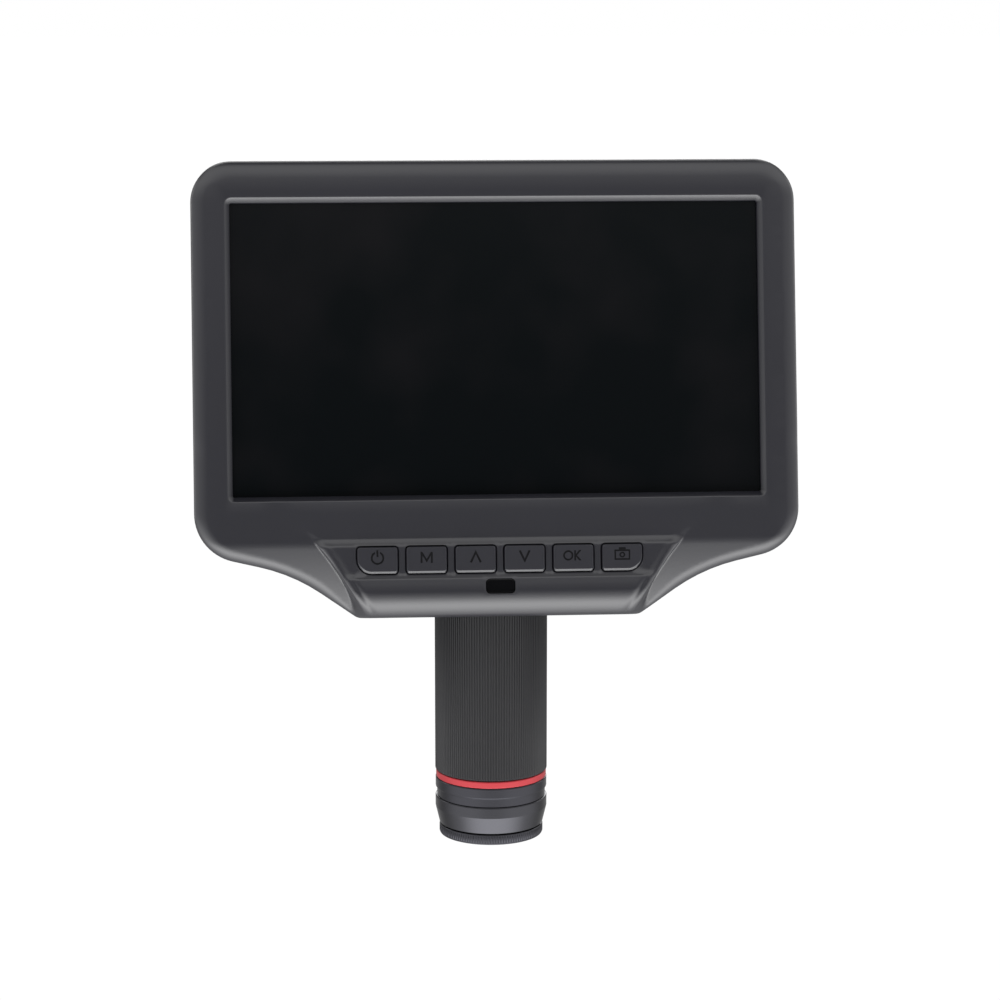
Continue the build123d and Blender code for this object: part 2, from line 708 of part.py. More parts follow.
button_face_z = field_z + button_proud
for i, name in enumerate(button_names):
    x = (i - (len(button_names) - 1) / 2) * button_pitch
    with BuildPart() as button:
        with BuildSketch(screen.offset(chin_room_z - button_gap)):
            button_outline(i)
        extrude(amount=button_face_z - chin_room_z + button_gap)
        top = [f for f in button.faces() if f.normal_at().dot(screen.z_dir) > 0.99]
        fillet([e for f in top for e in f.edges()], button_edge_r)
        flange_z = chin_room_z - flange_gap
        with BuildSketch(screen.offset(flange_z)):
            button_outline(i, button_flange)
        extrude(amount=-flange_t)
        with BuildSketch(screen.offset(flange_z - flange_t)):
            with Locations((x, button_mid_h)):
                Circle(stem_r)
        extrude(amount=switch_top_z - stem_in - flange_z + flange_t)
        with BuildSketch(face_plane(x, button_mid_h, button_face_z)):
            button_sign(name)
        extrude(amount=-sign_depth, mode=Mode.SUBTRACT)
    save(button, f"button_{name}")

# ---------------------------------------------------------------- infra-red window and receiver
with BuildPart() as ir_window:
    with BuildSketch(screen.offset(chin_room_z - 0.5)):
        with Locations((0, window_mid_h)):
            RectangleRounded(window_w, window_h, window_r)
    extrude(amount=lip_z - chin_room_z + 1)
    with BuildSketch(across):
        chin_skin(window_sink)
    extrude(amount=window_w, both=True, mode=Mode.INTERSECT)
    with BuildSketch(screen.offset(chin_room_z)):
        with Locations((0, window_mid_h)):
            Rectangle(window_w + 2 * window_flange, window_h + 2 * window_flange)
    extrude(amount=-window_flange_t)
save(ir_window, "ir_window")

with BuildPart() as ir_receiver:
    with BuildSketch(screen.offset(switch_base_z)):
        with Locations((0, window_mid_h)):
            Rectangle(receiver_w, receiver_w)
    extrude(amount=receiver_t)
    with Locations(face_plane(0, window_mid_h, switch_base_z + receiver_t - receiver_dome_sink).location):
        Sphere(receiver_dome_r)
save(ir_receiver, "ir_receiver")

# ---------------------------------------------------------------- hinge
with BuildPart() as hinge_bracket:
    with BuildSketch(screen.offset(-housing_t)):
        with Locations((0, hinge_h)):
            RectangleRounded(bracket_w, bracket_h, bracket_corner_r)
    extrude(amount=-bracket_t)
    for side in (-1, 1):
        with BuildSketch(hinge_plane.offset(side * ear_inner)):
            Circle(hinge_r)
            with Locations((0, (hinge_back - bracket_t / 2) / 2)):
                Rectangle(2 * hinge_r, hinge_back - bracket_t / 2)
            Circle(pin_r + pin_seat_play, mode=Mode.SUBTRACT)
        extrude(amount=side * ear_w)
        for up in (-1, 1):
            height = hinge_h + up * bracket_screw_h
            outside = face_plane(side * bracket_screw_x, height, -housing_t - bracket_t)
            with Locations(outside.location * turned_back):
                Hole(case_screw_r + screw_play, depth=bracket_t)
save(hinge_bracket, "hinge_bracket")

with BuildPart() as bracket_screws:
    for side in (-1, 1):
        for up in (-1, 1):
            seat = face_plane(side * bracket_screw_x, hinge_h + up * bracket_screw_h, -housing_t - bracket_t)
            with BuildSketch(seat):
                Circle(screw_head_r)
            extrude(amount=-screw_head_t)
            with BuildSketch(seat):
                Circle(case_screw_r)
            extrude(amount=bracket_t + wall)
save(bracket_screws, "bracket_screws")

with BuildPart() as hinge_pin:
    with BuildSketch(hinge_plane.offset(-ear_outer)):
        Circle(pin_r)
    extrude(amount=2 * ear_outer + nut_t + pin_end)
    with BuildSketch(hinge_plane.offset(-ear_outer)):
        Circle(pin_head_r)
    extrude(amount=-pin_head_t)
    fillet(hinge_pin.faces().sort_by(Axis.X)[0].edges(), pin_head_edge_r)
save(hinge_pin, "hinge_pin")

with BuildPart() as hinge_nut:
    with BuildSketch(hinge_plane.offset(ear_outer)):
        RegularPolygon(nut_across / 2, 6, major_radius=False)
        Circle(pin_r + 0.02, mode=Mode.SUBTRACT)
    extrude(amount=nut_t)
save(hinge_nut, "hinge_nut")

with BuildPart() as friction_washers:
    for side in (-1, 1):
        with BuildSketch(hinge_plane.offset(side * ear_inner)):
            Circle(hinge_r - washer_step)
            Circle(pin_r + pin_seat_play, mode=Mode.SUBTRACT)
        extrude(amount=-side * friction_t)
save(friction_washers, "friction_washers")

# ---------------------------------------------------------------- head casing
def grub_plane(angle):
    """Plane through the optical axis that faces outwards at an angle, at the grub screws' height."""
    return Plane(origin=(0, 0, seat_top + grub_z), z_dir=(cos(radians(angle)), sin(radians(angle)), 0))


with BuildPart() as knuckle:
    with BuildSketch(hinge_plane.offset(-knuckle_half)):
        Circle(hinge_r)
    extrude(amount=2 * knuckle_half)
    chamfer(knuckle.edges().filter_by(GeomType.CIRCLE), knuckle_edge)

with BuildPart() as head_casing:
    with BuildSketch(Plane.XY.offset(seat_top)):
        Circle(casing_r)
    extrude(amount=casing_top - seat_top)
    # shoulders that draw in to the hinge knuckle
    with BuildSketch(Plane.XY.offset(casing_top)):
        Circle(casing_r)
    with BuildSketch(Plane.XY.offset(neck_z)):
        with Locations((0, hinge_axis.Y)):
            RectangleRounded(2 * knuckle_half, 2 * hinge_r, neck_corner_r)
    loft()
    with BuildSketch(Plane.XY.offset(neck_z)):
        with Locations((0, hinge_axis.Y)):
            RectangleRounded(2 * knuckle_half, 2 * hinge_r, neck_corner_r)
    extrude(amount=hinge_axis.Z - neck_z)
    fillet(head_casing.faces().sort_by(Axis.Z)[0].edges(), casing_edge_r)
    add(knuckle.part)
    with BuildSketch(hinge_plane.offset(-knuckle_half)):
        Circle(pin_r + pin_play)
    extrude(amount=2 * knuckle_half, mode=Mode.SUBTRACT)
    with BuildSketch(Plane.XY.offset(seat_top)):
        Circle(casing_r - casing_wall)
    extrude(amount=casing_room, mode=Mode.SUBTRACT)
    # tapped holes for the three grub screws that hold the tube's spigot
    for angle in grub_angles:
        with BuildSketch(grub_plane(angle)):
            Circle(grub_r)
        extrude(amount=casing_r, mode=Mode.SUBTRACT)
save(head_casing, "head_casing")

with BuildPart() as grub_screws:
    for angle in grub_angles:
        with BuildSketch(grub_plane(angle).offset(spigot_r)):
            Circle(grub_r)
        extrude(amount=grub_len)
save(grub_screws, "grub_screws")

# ---------------------------------------------------------------- camera
board_low = seat_top + spigot_len
with BuildPart() as sensor_board:
    with BuildSketch(Plane.XY.offset(board_low)):
        Circle(sensor_board_r)
        with PolarLocations((tube_bore_r + spigot_r) / 2, 2):
            Circle(case_screw_r + fit_play, mode=Mode.SUBTRACT)
    extrude(amount=board_t)
    with BuildSketch(Plane.XY.offset(board_low + board_t)):
        plug_y, plug_w, plug_h = sensor_plug
        with Locations((0, plug_y)):
            Rectangle(plug_w, plug_h)
        chip_x, chip_y, chip_w = sensor_chips
        with Locations((-chip_x, chip_y), (chip_x, chip_y)):
            Rectangle(chip_w, chip_w)
    extrude(amount=sensor_part_t)
save(sensor_board, "sensor_board")

with BuildPart() as sensor_screws:
    with BuildSketch(Plane.XY.offset(board_low + board_t)):
        with PolarLocations((tube_bore_r + spigot_r) / 2, 2):
            Circle(sensor_screw_head_r)
    extrude(amount=sensor_screw_head_t)
    with BuildSketch(Plane.XY.offset(board_low + board_t)):
        with PolarLocations((tube_bore_r + spigot_r) / 2, 2):
            Circle(case_screw_r)
    extrude(amount=-board_t - sensor_screw_len)
save(sensor_screws, "sensor_screws")

with BuildPart() as image_sensor:
    with BuildSketch(Plane.XY.offset(board_low)):
        Rectangle(sensor_w, sensor_w)
    extrude(amount=-sensor_t)
save(image_sensor, "image_sensor")

holder_low = board_low - holder_len
holder_room_w = holder_w - 2 * holder_wall
with BuildPart() as filter_holder:
    with BuildSketch(Plane.XY.offset(holder_low)):
        Rectangle(holder_w, holder_w)
        Circle(sensor_w / 2, mode=Mode.SUBTRACT)
    extrude(amount=holder_len)
    with BuildSketch(Plane.XY.offset(holder_low + holder_base)):
        Rectangle(holder_room_w, holder_room_w)
    extrude(amount=holder_len - holder_base, mode=Mode.SUBTRACT)
save(filter_holder, "filter_holder")

with BuildPart() as cut_filter:
    with BuildSketch(Plane.XY.offset(holder_low + holder_base)):
        Rectangle(holder_room_w, holder_room_w)
    extrude(amount=cut_filter_t)
save(cut_filter, "cut_filter")

# ---------------------------------------------------------------- barrel tube
with BuildPart() as barrel_tube:
    disc_stack((tube_bore_r, tube_r, tube_bottom, seat_bottom), (tube_bore_r, seat_r, seat_bottom, seat_top),
               (tube_bore_r, spigot_r, seat_top, board_low),
               (lens_shelf_r, tube_r, seat_bottom - lens_shelf_t, seat_bottom))
    # straight slot for the cam pin
    with BuildSketch(Plane.YZ.offset(tube_bore_r - 2)):
        with Locations((0, cam_z + focus_travel / 2)):
            SlotOverall(focus_travel + 2 * (cam_r + cam_play), 2 * (cam_r + cam_play), rotation=90)
    extrude(amount=tube_r - tube_bore_r + 3, mode=Mode.SUBTRACT)
    with BuildSketch(Plane.XY.offset(board_low)):
        with PolarLocations((tube_bore_r + spigot_r) / 2, 2):
            Circle(case_screw_r)
    extrude(amount=-sensor_screw_len - sensor_screw_play, mode=Mode.SUBTRACT)
save(barrel_tube, "barrel_tube")

def lens_face(radius, rim_z, bulge):
    """Spherical face of a lens, from its middle to its rim, bulging up by bulge at the middle."""
    sphere_r = (radius ** 2 + bulge ** 2) / (2 * abs(bulge))
    rise = sqrt(sphere_r ** 2 - radius ** 2 / 4) - sphere_r + abs(bulge)
    half_z = rim_z + copysign(rise, bulge)
    ThreePointArc((0, rim_z + bulge), (radius / 2, half_z), (radius, rim_z))


fixed_lens_top = seat_bottom + fixed_lens_t
fixed_lens_r = tube_bore_r - fit_play
with BuildPart() as fixed_lens:
    with BuildSketch(Plane.XZ):
        with BuildLine():
            lens_face(fixed_lens_face_r, fixed_lens_top, fixed_bulges[1])
            lens_face(lens_shelf_r, seat_bottom, fixed_bulges[0])
            Polyline((fixed_lens_face_r, fixed_lens_top), (fixed_lens_r, fixed_lens_top),
                     (fixed_lens_r, seat_bottom), (lens_shelf_r, seat_bottom))
            Line((0, seat_bottom + fixed_bulges[0]), (0, fixed_lens_top + fixed_bulges[1]))
        make_face()
    revolve(axis=Axis.Z)
save(fixed_lens, "fixed_lens")

with BuildPart() as fixed_ring:
    disc_stack((fixed_lens_face_r, fixed_lens_r, fixed_lens_top, fixed_lens_top + ring_t))
save(fixed_ring, "fixed_ring")

# ---------------------------------------------------------------- moving lens cell
with BuildPart() as lens_cell:
    disc_stack((cell_bore_r, cell_r, cell_low, cell_top),
               (cell_stop_r, cell_r, cam_z - lens_seat_t, cam_z + lens_seat_t))
    with BuildSketch(Plane.YZ.offset(cell_stop_r / 2)):
        with Locations((0, cam_z)):
            Circle(cam_r)
    extrude(amount=cell_r, mode=Mode.SUBTRACT)
save(lens_cell, "lens_cell")

with BuildPart() as cam_pin:
    with BuildSketch(Plane.YZ.offset(cell_stop_r + cam_pin_sink)):
        with Locations((0, cam_z)):
            Circle(cam_r)
    extrude(amount=cam_pin_r - cell_stop_r - cam_pin_sink)
save(cam_pin, "cam_pin")

for name, side in (("lower_lens", -1), ("upper_lens", 1)):
    near = cam_z + side * lens_seat_t
    far = near + side * lens_t
    with BuildPart() as lens:
        with BuildSketch(Plane.XZ):
            with BuildLine():
                lens_face(cell_stop_r, near, side * lens_bulges[0])
                lens_face(cell_stop_r, far, side * lens_bulges[1])
                Polyline((cell_stop_r, near), (lens_r, near), (lens_r, far), (cell_stop_r, far))
                Line((0, near + side * lens_bulges[0]), (0, far + side * lens_bulges[1]))
            make_face()
        revolve(axis=Axis.Z)
    save(lens, name)

with BuildPart() as cell_rings:
    for low in (cam_z - lens_seat_t - lens_t - ring_t, cam_z + lens_seat_t + lens_t):
        disc_stack((cell_stop_r, cell_bore_r - fit_play, low, low + ring_t))
save(cell_rings, "cell_rings")

# ---------------------------------------------------------------- focus ring
# path of the helical slot: it climbs as its angle falls, and runs on a little past the pin at both ends
cam_rise = focus_lead * (focus_angle + 2 * cam_end_angle) / 360
cam_start_z = cam_z - focus_lead * cam_end_angle / 360
cam_path = Location((0, 0, cam_start_z), (0, 0, cam_end_angle)) * Helix(
    pitch=focus_lead, height=cam_rise, radius=(sleeve_bore_r + grip_root_r) / 2, lefthand=True)

with BuildPart() as focus_sleeve:
    disc_stack((sleeve_bore_r, grip_root_r - fit_play, grip_bottom, grip_top),
               (tube_r + slide_play, grip_root_r - fit_play, grip_bottom, grip_bottom + land_len),
               (tube_r + slide_play, grip_root_r - fit_play, grip_top - land_len, grip_top))
    start = cam_path @ 0
    with BuildSketch(Plane(origin=start, x_dir=(start.X, start.Y, 0), z_dir=cam_path % 0)):
        Rectangle(2 * (grip_root_r - sleeve_bore_r), 2 * (cam_r + cam_play))
    sweep(path=cam_path, is_frenet=True, mode=Mode.SUBTRACT)
save(focus_sleeve, "focus_sleeve")

with BuildPart() as focus_grip:
    with BuildSketch(Plane.XY.offset(grip_bottom)):
        with BuildLine():
            step = 2 * pi / rib_count
            crests = [(grip_r, i * step) for i in range(rib_count)]
            roots = [(grip_r - rib_depth, (i + 0.5) * step) for i in range(rib_count)]
            Polyline(*[(r * cos(a), r * sin(a)) for pair in zip(crests, roots) for r, a in pair], close=True)
        make_face()
        Circle(grip_root_r, mode=Mode.SUBTRACT)
    extrude(amount=grip_len)
save(focus_grip, "focus_grip")

# ---------------------------------------------------------------- nose
with BuildPart() as accent_ring:
    disc_stack((tube_r + fit_play, accent_r, accent_bottom, accent_top))
    chamfer(circles(accent_ring, accent_r), accent_edge)
save(accent_ring, "accent_ring")

with BuildPart() as nose_collar:
    disc_stack((tube_r + fit_play, collar_r, collar_bottom, accent_bottom),
               (tube_r + fit_play, neck_r, neck_bottom, collar_bottom))
    chamfer(circles(nose_collar, collar_r), nose_edge)
save(nose_collar, "nose_collar")

with BuildPart() as taper_ring:
    with BuildSketch(Plane.XZ):
        profile((filter_stem_r + fit_play, taper_bottom), (taper_end_r, taper_bottom),
                (taper_r, taper_band_bottom), (taper_r, neck_bottom), (tube_r + fit_play, neck_bottom),
                (tube_r + fit_play, tube_bottom), (filter_stem_r + fit_play, tube_bottom))
    revolve(axis=Axis.Z)
    chamfer(circles(taper_ring, taper_r).sort_by(Axis.Z)[-1], nose_edge)
save(taper_ring, "taper_ring")

with BuildPart() as filter_ring:
    with BuildSketch(Plane.XY.offset(filter_bottom)):
        with BuildLine():
            step = 2 * pi / filter_teeth
            crests = [(filter_r, i * step) for i in range(filter_teeth)]
            roots = [(filter_r - filter_tooth, (i + 0.5) * step) for i in range(filter_teeth)]
            Polyline(*[(r * cos(a), r * sin(a)) for pair in zip(crests, roots) for r, a in pair], close=True)
        make_face()
    extrude(amount=filter_t)
    disc_stack((0, filter_stem_r, filter_top, filter_top + filter_stem_len))
    disc_stack((0, front_glass_r, front_glass_low, filter_top + filter_stem_len))
    with BuildSketch(Plane.XY.offset(filter_bottom)):
        Circle(filter_bore_r)
    extrude(amount=filter_t + filter_stem_len, mode=Mode.SUBTRACT)
    with BuildSketch(Plane.XY.offset(front_glass_low)):
        Circle(front_glass_r)
    extrude(amount=filter_t + filter_stem_len, mode=Mode.SUBTRACT)
save(filter_ring, "filter_ring")

with BuildPart() as front_glass:
    disc_stack((0, front_glass_r, front_glass_low, front_glass_low + front_glass_t))
save(front_glass, "front_glass")
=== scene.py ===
import math

import bmesh
import bpy
import numpy as np
from mathutils import Matrix, Vector
from mathutils.geometry import delaunay_2d_cdt


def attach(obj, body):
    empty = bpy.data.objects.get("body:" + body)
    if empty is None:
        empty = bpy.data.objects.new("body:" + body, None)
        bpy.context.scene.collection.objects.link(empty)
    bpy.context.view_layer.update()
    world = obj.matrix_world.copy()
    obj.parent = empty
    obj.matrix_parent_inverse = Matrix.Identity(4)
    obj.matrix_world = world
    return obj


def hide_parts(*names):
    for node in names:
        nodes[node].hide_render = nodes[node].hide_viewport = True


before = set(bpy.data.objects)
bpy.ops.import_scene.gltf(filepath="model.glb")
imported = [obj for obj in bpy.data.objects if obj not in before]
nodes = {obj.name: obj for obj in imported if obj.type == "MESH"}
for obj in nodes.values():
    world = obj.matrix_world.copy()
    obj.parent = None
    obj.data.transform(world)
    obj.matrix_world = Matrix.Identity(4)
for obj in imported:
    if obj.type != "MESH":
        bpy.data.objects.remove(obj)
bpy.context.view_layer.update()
print("frame loaded:", len(nodes), "nodes")

mm = 0.001
housing = {  # tilted screen housing, millimetres: x across, h up from the chin's bottom, z out of the front
    "tilt": 11.5, "chinToAxis": 43.0, "chinDrop": 1.0, "width": 177.0, "height": 133.4,
    "footHalf": 41.4, "footRadius": 3.5, "flankHalf": 60.2, "flankHeight": 13.0, "flankRadius": 52.0,
    "shoulderHeight": 19.6, "lowRadius": 14.3, "topRadius": 12.0, "parting": 9.0, "partingGroove": 0.3,
    "wall": 2.2, "frontWall": 2.6, "chinWall": 2.0, "innerRim": 0.3,
}
lean = math.radians(housing["tilt"])
upward = Vector((0, math.sin(lean), math.cos(lean)))
outward = Vector((0, -math.cos(lean), math.sin(lean)))
foot = Vector((0, -housing["chinToAxis"] * math.cos(lean), -housing["chinDrop"]))


def onScreen(x, h, z):  # place on the tilted housing, from millimetres to metres
    return (foot + Vector((x, 0, 0)) + upward * h + outward * z) * mm


# materials and finishes
def linear(text):  # sRGB hex to the linear colour that shaders take
    parts = [int(text[i:i + 2], 16) / 255 for i in (0, 2, 4)]
    return [*(p / 12.92 if p <= 0.04045 else ((p + 0.055) / 1.055) ** 2.4 for p in parts), 1.0]


def addNode(tree, kind, settings=None, links=None):  # a node with its settings, sockets and links
    node = tree.nodes.new(kind)
    for key, value in (settings or {}).items():
        if isinstance(key, str) and key in node.bl_rna.properties:
            setattr(node, key, value)
        else:
            node.inputs[key].default_value = value
    for key, source in (links or {}).items():
        tree.links.new(source, node.inputs[key])
    return node


def startMaterial(name, look):  # a shader with uniform values on its own sockets
    material = bpy.data.materials.new(name)
    material.use_nodes = True
    tree = material.node_tree
    shader = tree.nodes["Principled BSDF"]
    shader.inputs["Base Color"].default_value = linear(look["colour"])
    shader.inputs["Roughness"].default_value = look["roughness"]
    shader.inputs["Metallic"].default_value = look.get("metallic", 0.0)
    shader.inputs["IOR"].default_value = look.get("ior", 1.5)
    shader.inputs["Specular IOR Level"].default_value = look.get("gloss", 0.5)
    material.diffuse_color = linear(look["colour"])
    return material, tree, shader


def grained(name, look):  # fine grain in relief, and a faint unevenness in colour
    material, tree, shader = startMaterial(name, look)
    place = addNode(tree, "ShaderNodeTexCoord").outputs["Object"]
    grain = addNode(tree, "ShaderNodeTexNoise", {"Scale": 1 / (look["grain"] * mm), "Detail": 2.0},
                    {"Vector": place})
    relief = addNode(tree, "ShaderNodeBump", {"Distance": look["depth"] * mm, "Strength": 1.0},
                     {"Height": grain.outputs["Fac"]})
    tree.links.new(relief.outputs["Normal"], shader.inputs["Normal"])
    cloud = addNode(tree, "ShaderNodeTexNoise", {"Scale": 1 / (look.get("cloud", 30) * mm), "Detail": 3.0},
                    {"Vector": place})
    tone = addNode(tree, "ShaderNodeMix", {"data_type": "RGBA"}, {0: cloud.outputs["Fac"]})
    tone.inputs[6].default_value = linear(look["colour"])
    tone.inputs[7].default_value = linear(look["second"])
    tree.links.new(tone.outputs[2], shader.inputs["Base Color"])
    return material


ringsPerUnit = 3.2  # rings of the wave texture in one unit at a scale of 1


def turned(name, look):  # lathe marks: fine rings round the optical axis
    material, tree, shader = startMaterial(name, look)
    place = addNode(tree, "ShaderNodeTexCoord").outputs["Object"]
    rings = addNode(tree, "ShaderNodeTexWave",
                    {"bands_direction": "Z", "Scale": 1 / (look["feed"] * mm * ringsPerUnit),
                     "Distortion": 0.6, "Detail": 2.0, "Detail Scale": 3.0}, {"Vector": place})
    relief = addNode(tree, "ShaderNodeBump", {"Distance": look["depth"] * mm, "Strength": 1.0},
                     {"Height": rings.outputs["Fac"]})
    tree.links.new(relief.outputs["Normal"], shader.inputs["Normal"])
    return material


materials = {
    # ABS from a spark-eroded mould: charcoal, an even soft satin, with a fine grain (0.3 mm, drawn at 0.7)
    "bezelAbs": grained("ABS spark-textured charcoal",
                        {"colour": "1c1c23", "second": "202027", "roughness": 0.32, "ior": 1.53,
                         "gloss": 1.0, "grain": 0.7, "depth": 0.012}),
    # ABS from a finer mould: as dark as the bezel, with a shallower grain that looks smoother
    "buttonAbs": grained("ABS fine-moulded button",
                         {"colour": "1e1e25", "second": "222229", "roughness": 0.32, "ior": 1.53,
                          "gloss": 1.0, "grain": 0.8, "depth": 0.005, "cloud": 6}),
    # ABS for the hinge's head, same family as the cover: a little paler and duller
    "casingAbs": grained("ABS moulded casing",
                         {"colour": "222125", "second": "27262a", "roughness": 0.44, "ior": 1.53,
                          "gloss": 1.0, "grain": 0.8, "depth": 0.012}),
    # nitrile rubber, moulded ribs: deep grey, soft sheen, faint bloom
    "gripRubber": grained("Rubber moulded ribs",
                          {"colour": "111116", "second": "18181b", "roughness": 0.52, "ior": 1.52,
                           "gloss": 0.5, "grain": 1.2, "depth": 0.02, "cloud": 5}),
    # aluminium, turned and anodised black: dark satin with faint lathe rings
    "blackAnodised": turned("Aluminium black anodised turned",
                            {"colour": "434348", "roughness": 0.22, "metallic": 0.9, "feed": 0.25,
                             "depth": 0.001}),
    # aluminium, turned and anodised graphite: a touch brighter than the black
    "greyAnodised": turned("Aluminium graphite anodised turned",
                           {"colour": "47474b", "roughness": 0.22, "metallic": 0.95, "feed": 0.25,
                            "depth": 0.001}),
    # aluminium, turned and anodised red: clear bright red, satin, with a slight metal glow
    "redAnodised": turned("Aluminium red anodised turned",
                          {"colour": "c0373f", "roughness": 0.32, "metallic": 0.2, "feed": 0.25,
                           "depth": 0.003}),
}
for key, name, look in (
    # engraved and filled with matt black lacquer: a dull, flat black
    ("signPaint", "Lacquer matt black sign", {"colour": "0a0a0c", "roughness": 0.7, "gloss": 0.2}),
    # polycarbonate, smoked and polished: near black, glossy
    ("smokedWindow", "Polycarbonate smoked polished", {"colour": "08080a", "roughness": 0.12, "ior": 1.58}),
    # steel, zinc plated: cool grey metal
    ("zincSteel", "Steel zinc plated", {"colour": "8d9095", "roughness": 0.35, "metallic": 1.0}),
    # steel, black oxide: dark metal
    ("blackSteel", "Steel black oxide", {"colour": "2a2a2d", "roughness": 0.4, "metallic": 0.8}),
    # stainless steel, ground: bright metal
    ("groundSteel", "Stainless steel ground", {"colour": "a8a9ac", "roughness": 0.3, "metallic": 1.0}),
    # tin-plated steel of socket shells: pale, fairly bright metal
    ("socketSteel", "Steel tin plated", {"colour": "9a9b9d", "roughness": 0.28, "metallic": 1.0}),
    # glass-epoxy board with green solder mask: deep green, half glossy
    ("greenBoard", "Glass-epoxy board green mask", {"colour": "14492c", "roughness": 0.4}),
    # moulded epoxy of chips: near black, dull
    ("chipEpoxy", "Epoxy moulded chip", {"colour": "17171a", "roughness": 0.5}),
    # polyethylene foam: black without any shine
    ("foam", "Foam closed-cell black", {"colour": "1c1c1e", "roughness": 0.9}),
    # acetal of the washers, turned: off-white, waxy
    ("acetal", "Acetal turned white", {"colour": "cfcdc6", "roughness": 0.4}),
    # liquid crystal panel, unlit: deep grey, slightly glossy
    ("unlitPanel", "Display panel unlit", {"colour": "0b0c0e", "roughness": 0.25}),
):
    materials[key] = startMaterial(name, look)[0]


def screenGlass():  # float glass over an unlit panel: near black, glossy, with a faint wiped haze
    look = {"colour": "080b0d", "roughness": 0.07, "haze": "121214", "hazeSize": 38}
    material, tree, shader = startMaterial("Glass polished black-backed", look)
    place = addNode(tree, "ShaderNodeTexCoord").outputs["Object"]
    haze = addNode(tree, "ShaderNodeTexNoise",
                   {"Scale": 1 / (look["hazeSize"] * mm), "Detail": 2.5, "Roughness": 0.55},
                   {"Vector": place})
    ramp = addNode(tree, "ShaderNodeValToRGB", {}, {"Fac": haze.outputs["Fac"]})
    ramp.color_ramp.elements[0].position = 0.45
    ramp.color_ramp.elements[0].color = linear(look["colour"])
    ramp.color_ramp.elements[1].position = 0.75
    ramp.color_ramp.elements[1].color = linear(look["haze"])
    tree.links.new(ramp.outputs["Color"], shader.inputs["Base Color"])
    return material


def coatedLens():  # optical glass with an anti-reflection coating: dark, clear, faint magenta-green gloss
    look = {"colour": "1d2430", "roughness": 0.03, "ior": 1.6}
    material, _, shader = startMaterial("Optical glass coated", look)
    shader.inputs["Coat Weight"].default_value = 0.6
    shader.inputs["Coat Tint"].default_value = linear("b9a8e6")
    shader.inputs["Coat Roughness"].default_value = 0.02
    return material


materials["screenGlass"] = screenGlass()
materials["coatedLens"] = coatedLens()

finishes = {  # CAD nodes that keep their own mesh, and the finish each takes
    "bezelAbs": ["front_bezel", "rear_cover"],
    "casingAbs": ["head_casing"],
    "buttonAbs": [n for n in nodes if n.startswith("button_") and n != "button_board"],
    "screenGlass": ["screen_glass"],
    "unlitPanel": ["lcd_panel"],
    "foam": ["lcd_gasket"],
    "smokedWindow": ["ir_window", "ir_receiver"],
    "greenBoard": ["main_board", "button_board", "sensor_board"],
    "chipEpoxy": ["board_chips", "tact_switches", "image_sensor", "filter_holder"],
    "socketSteel": ["video_socket", "usb_socket", "card_socket", "lcd_frame"],
    "zincSteel": ["board_screws", "sensor_screws", "hinge_bracket", "hinge_nut", "cam_pin"],
    "blackSteel": ["case_screws", "bracket_screws", "grub_screws"],
    "groundSteel": ["hinge_pin"],
    "acetal": ["friction_washers"],
    "blackAnodised": ["barrel_tube", "fixed_ring", "nose_collar", "filter_ring", "focus_sleeve", "lens_cell",
                      "cell_rings"],
    "greyAnodised": ["taper_ring"],
    "redAnodised": ["accent_ring"],
    "gripRubber": ["focus_grip"],
    "coatedLens": ["fixed_lens", "front_glass", "lower_lens", "upper_lens", "cut_filter"],
}
finishOf = {node: key for key, group in finishes.items() for node in group}
for node, obj in nodes.items():
    obj.data.materials.clear()
    obj.data.materials.append(materials[finishOf[node]])
print("materials on", len(finishOf), "nodes")


# tools for shapes
def addPiece(name, points, faces, body, slot, replaced, looks, faceLooks=None, sharp=38):
    # a new piece that rides on a body and stands for the replaced nodes; faceLooks picks a look for each face
    mesh = bpy.data.meshes.new(name)
    mesh.from_pydata([tuple(p) for p in points], [], faces)
    for look in looks:
        mesh.materials.append(materials[look])
    if faceLooks is not None:
        mesh.polygons.foreach_set("material_index", faceLooks)
    mesh.validate()
    obj = bpy.data.objects.new(name, mesh)
    bpy.context.scene.collection.objects.link(obj)
    finishPiece(obj, body, slot, replaced, sharp)
    return obj


def finishPiece(obj, body, slot, replaced, sharp=38):  # normals, shading, and what the piece rides on
    work = bmesh.new()
    work.from_mesh(obj.data)
    bmesh.ops.remove_doubles(work, verts=work.verts, dist=1e-7)
    bmesh.ops.recalc_face_normals(work, faces=work.faces)
    work.to_mesh(obj.data)
    work.free()
    obj.data.polygons.foreach_set("use_smooth", [True] * len(obj.data.polygons))
    obj.data.set_sharp_from_angle(angle=math.radians(sharp))
    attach(obj, body)
    if replaced:
        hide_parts(*replaced)


def roundedOutline(corners, step=0.13):
    # corners (x, y, radius), in order, to points with normals to the right; step is the arcs' largest angle
    result = []
    for i, (x, y, radius) in enumerate(corners):
        here = Vector((x, y))
        before = (here - Vector(corners[i - 1][:2])).normalized()
        after = (Vector(corners[(i + 1) % len(corners)][:2]) - here).normalized()
        turn = math.atan2(before.x * after.y - before.y * after.x, before.dot(after))
        if radius <= 0:
            middle = (before + after).normalized()
            result.append((here, Vector((middle.y, -middle.x)) / max(0.3, math.cos(turn / 2))))
            continue
        start = here - before * radius * math.tan(abs(turn) / 2)
        side = 1 if turn > 0 else -1
        centre = start + Vector((-before.y, before.x)) * radius * side
        count = max(2, math.ceil(abs(turn) / step))
        for k in range(count + 1):
            normal = Vector((before.y, -before.x))
            normal.rotate(Matrix.Rotation(turn * k / count, 2))
            result.append((centre + normal * radius * side, normal))
    return result


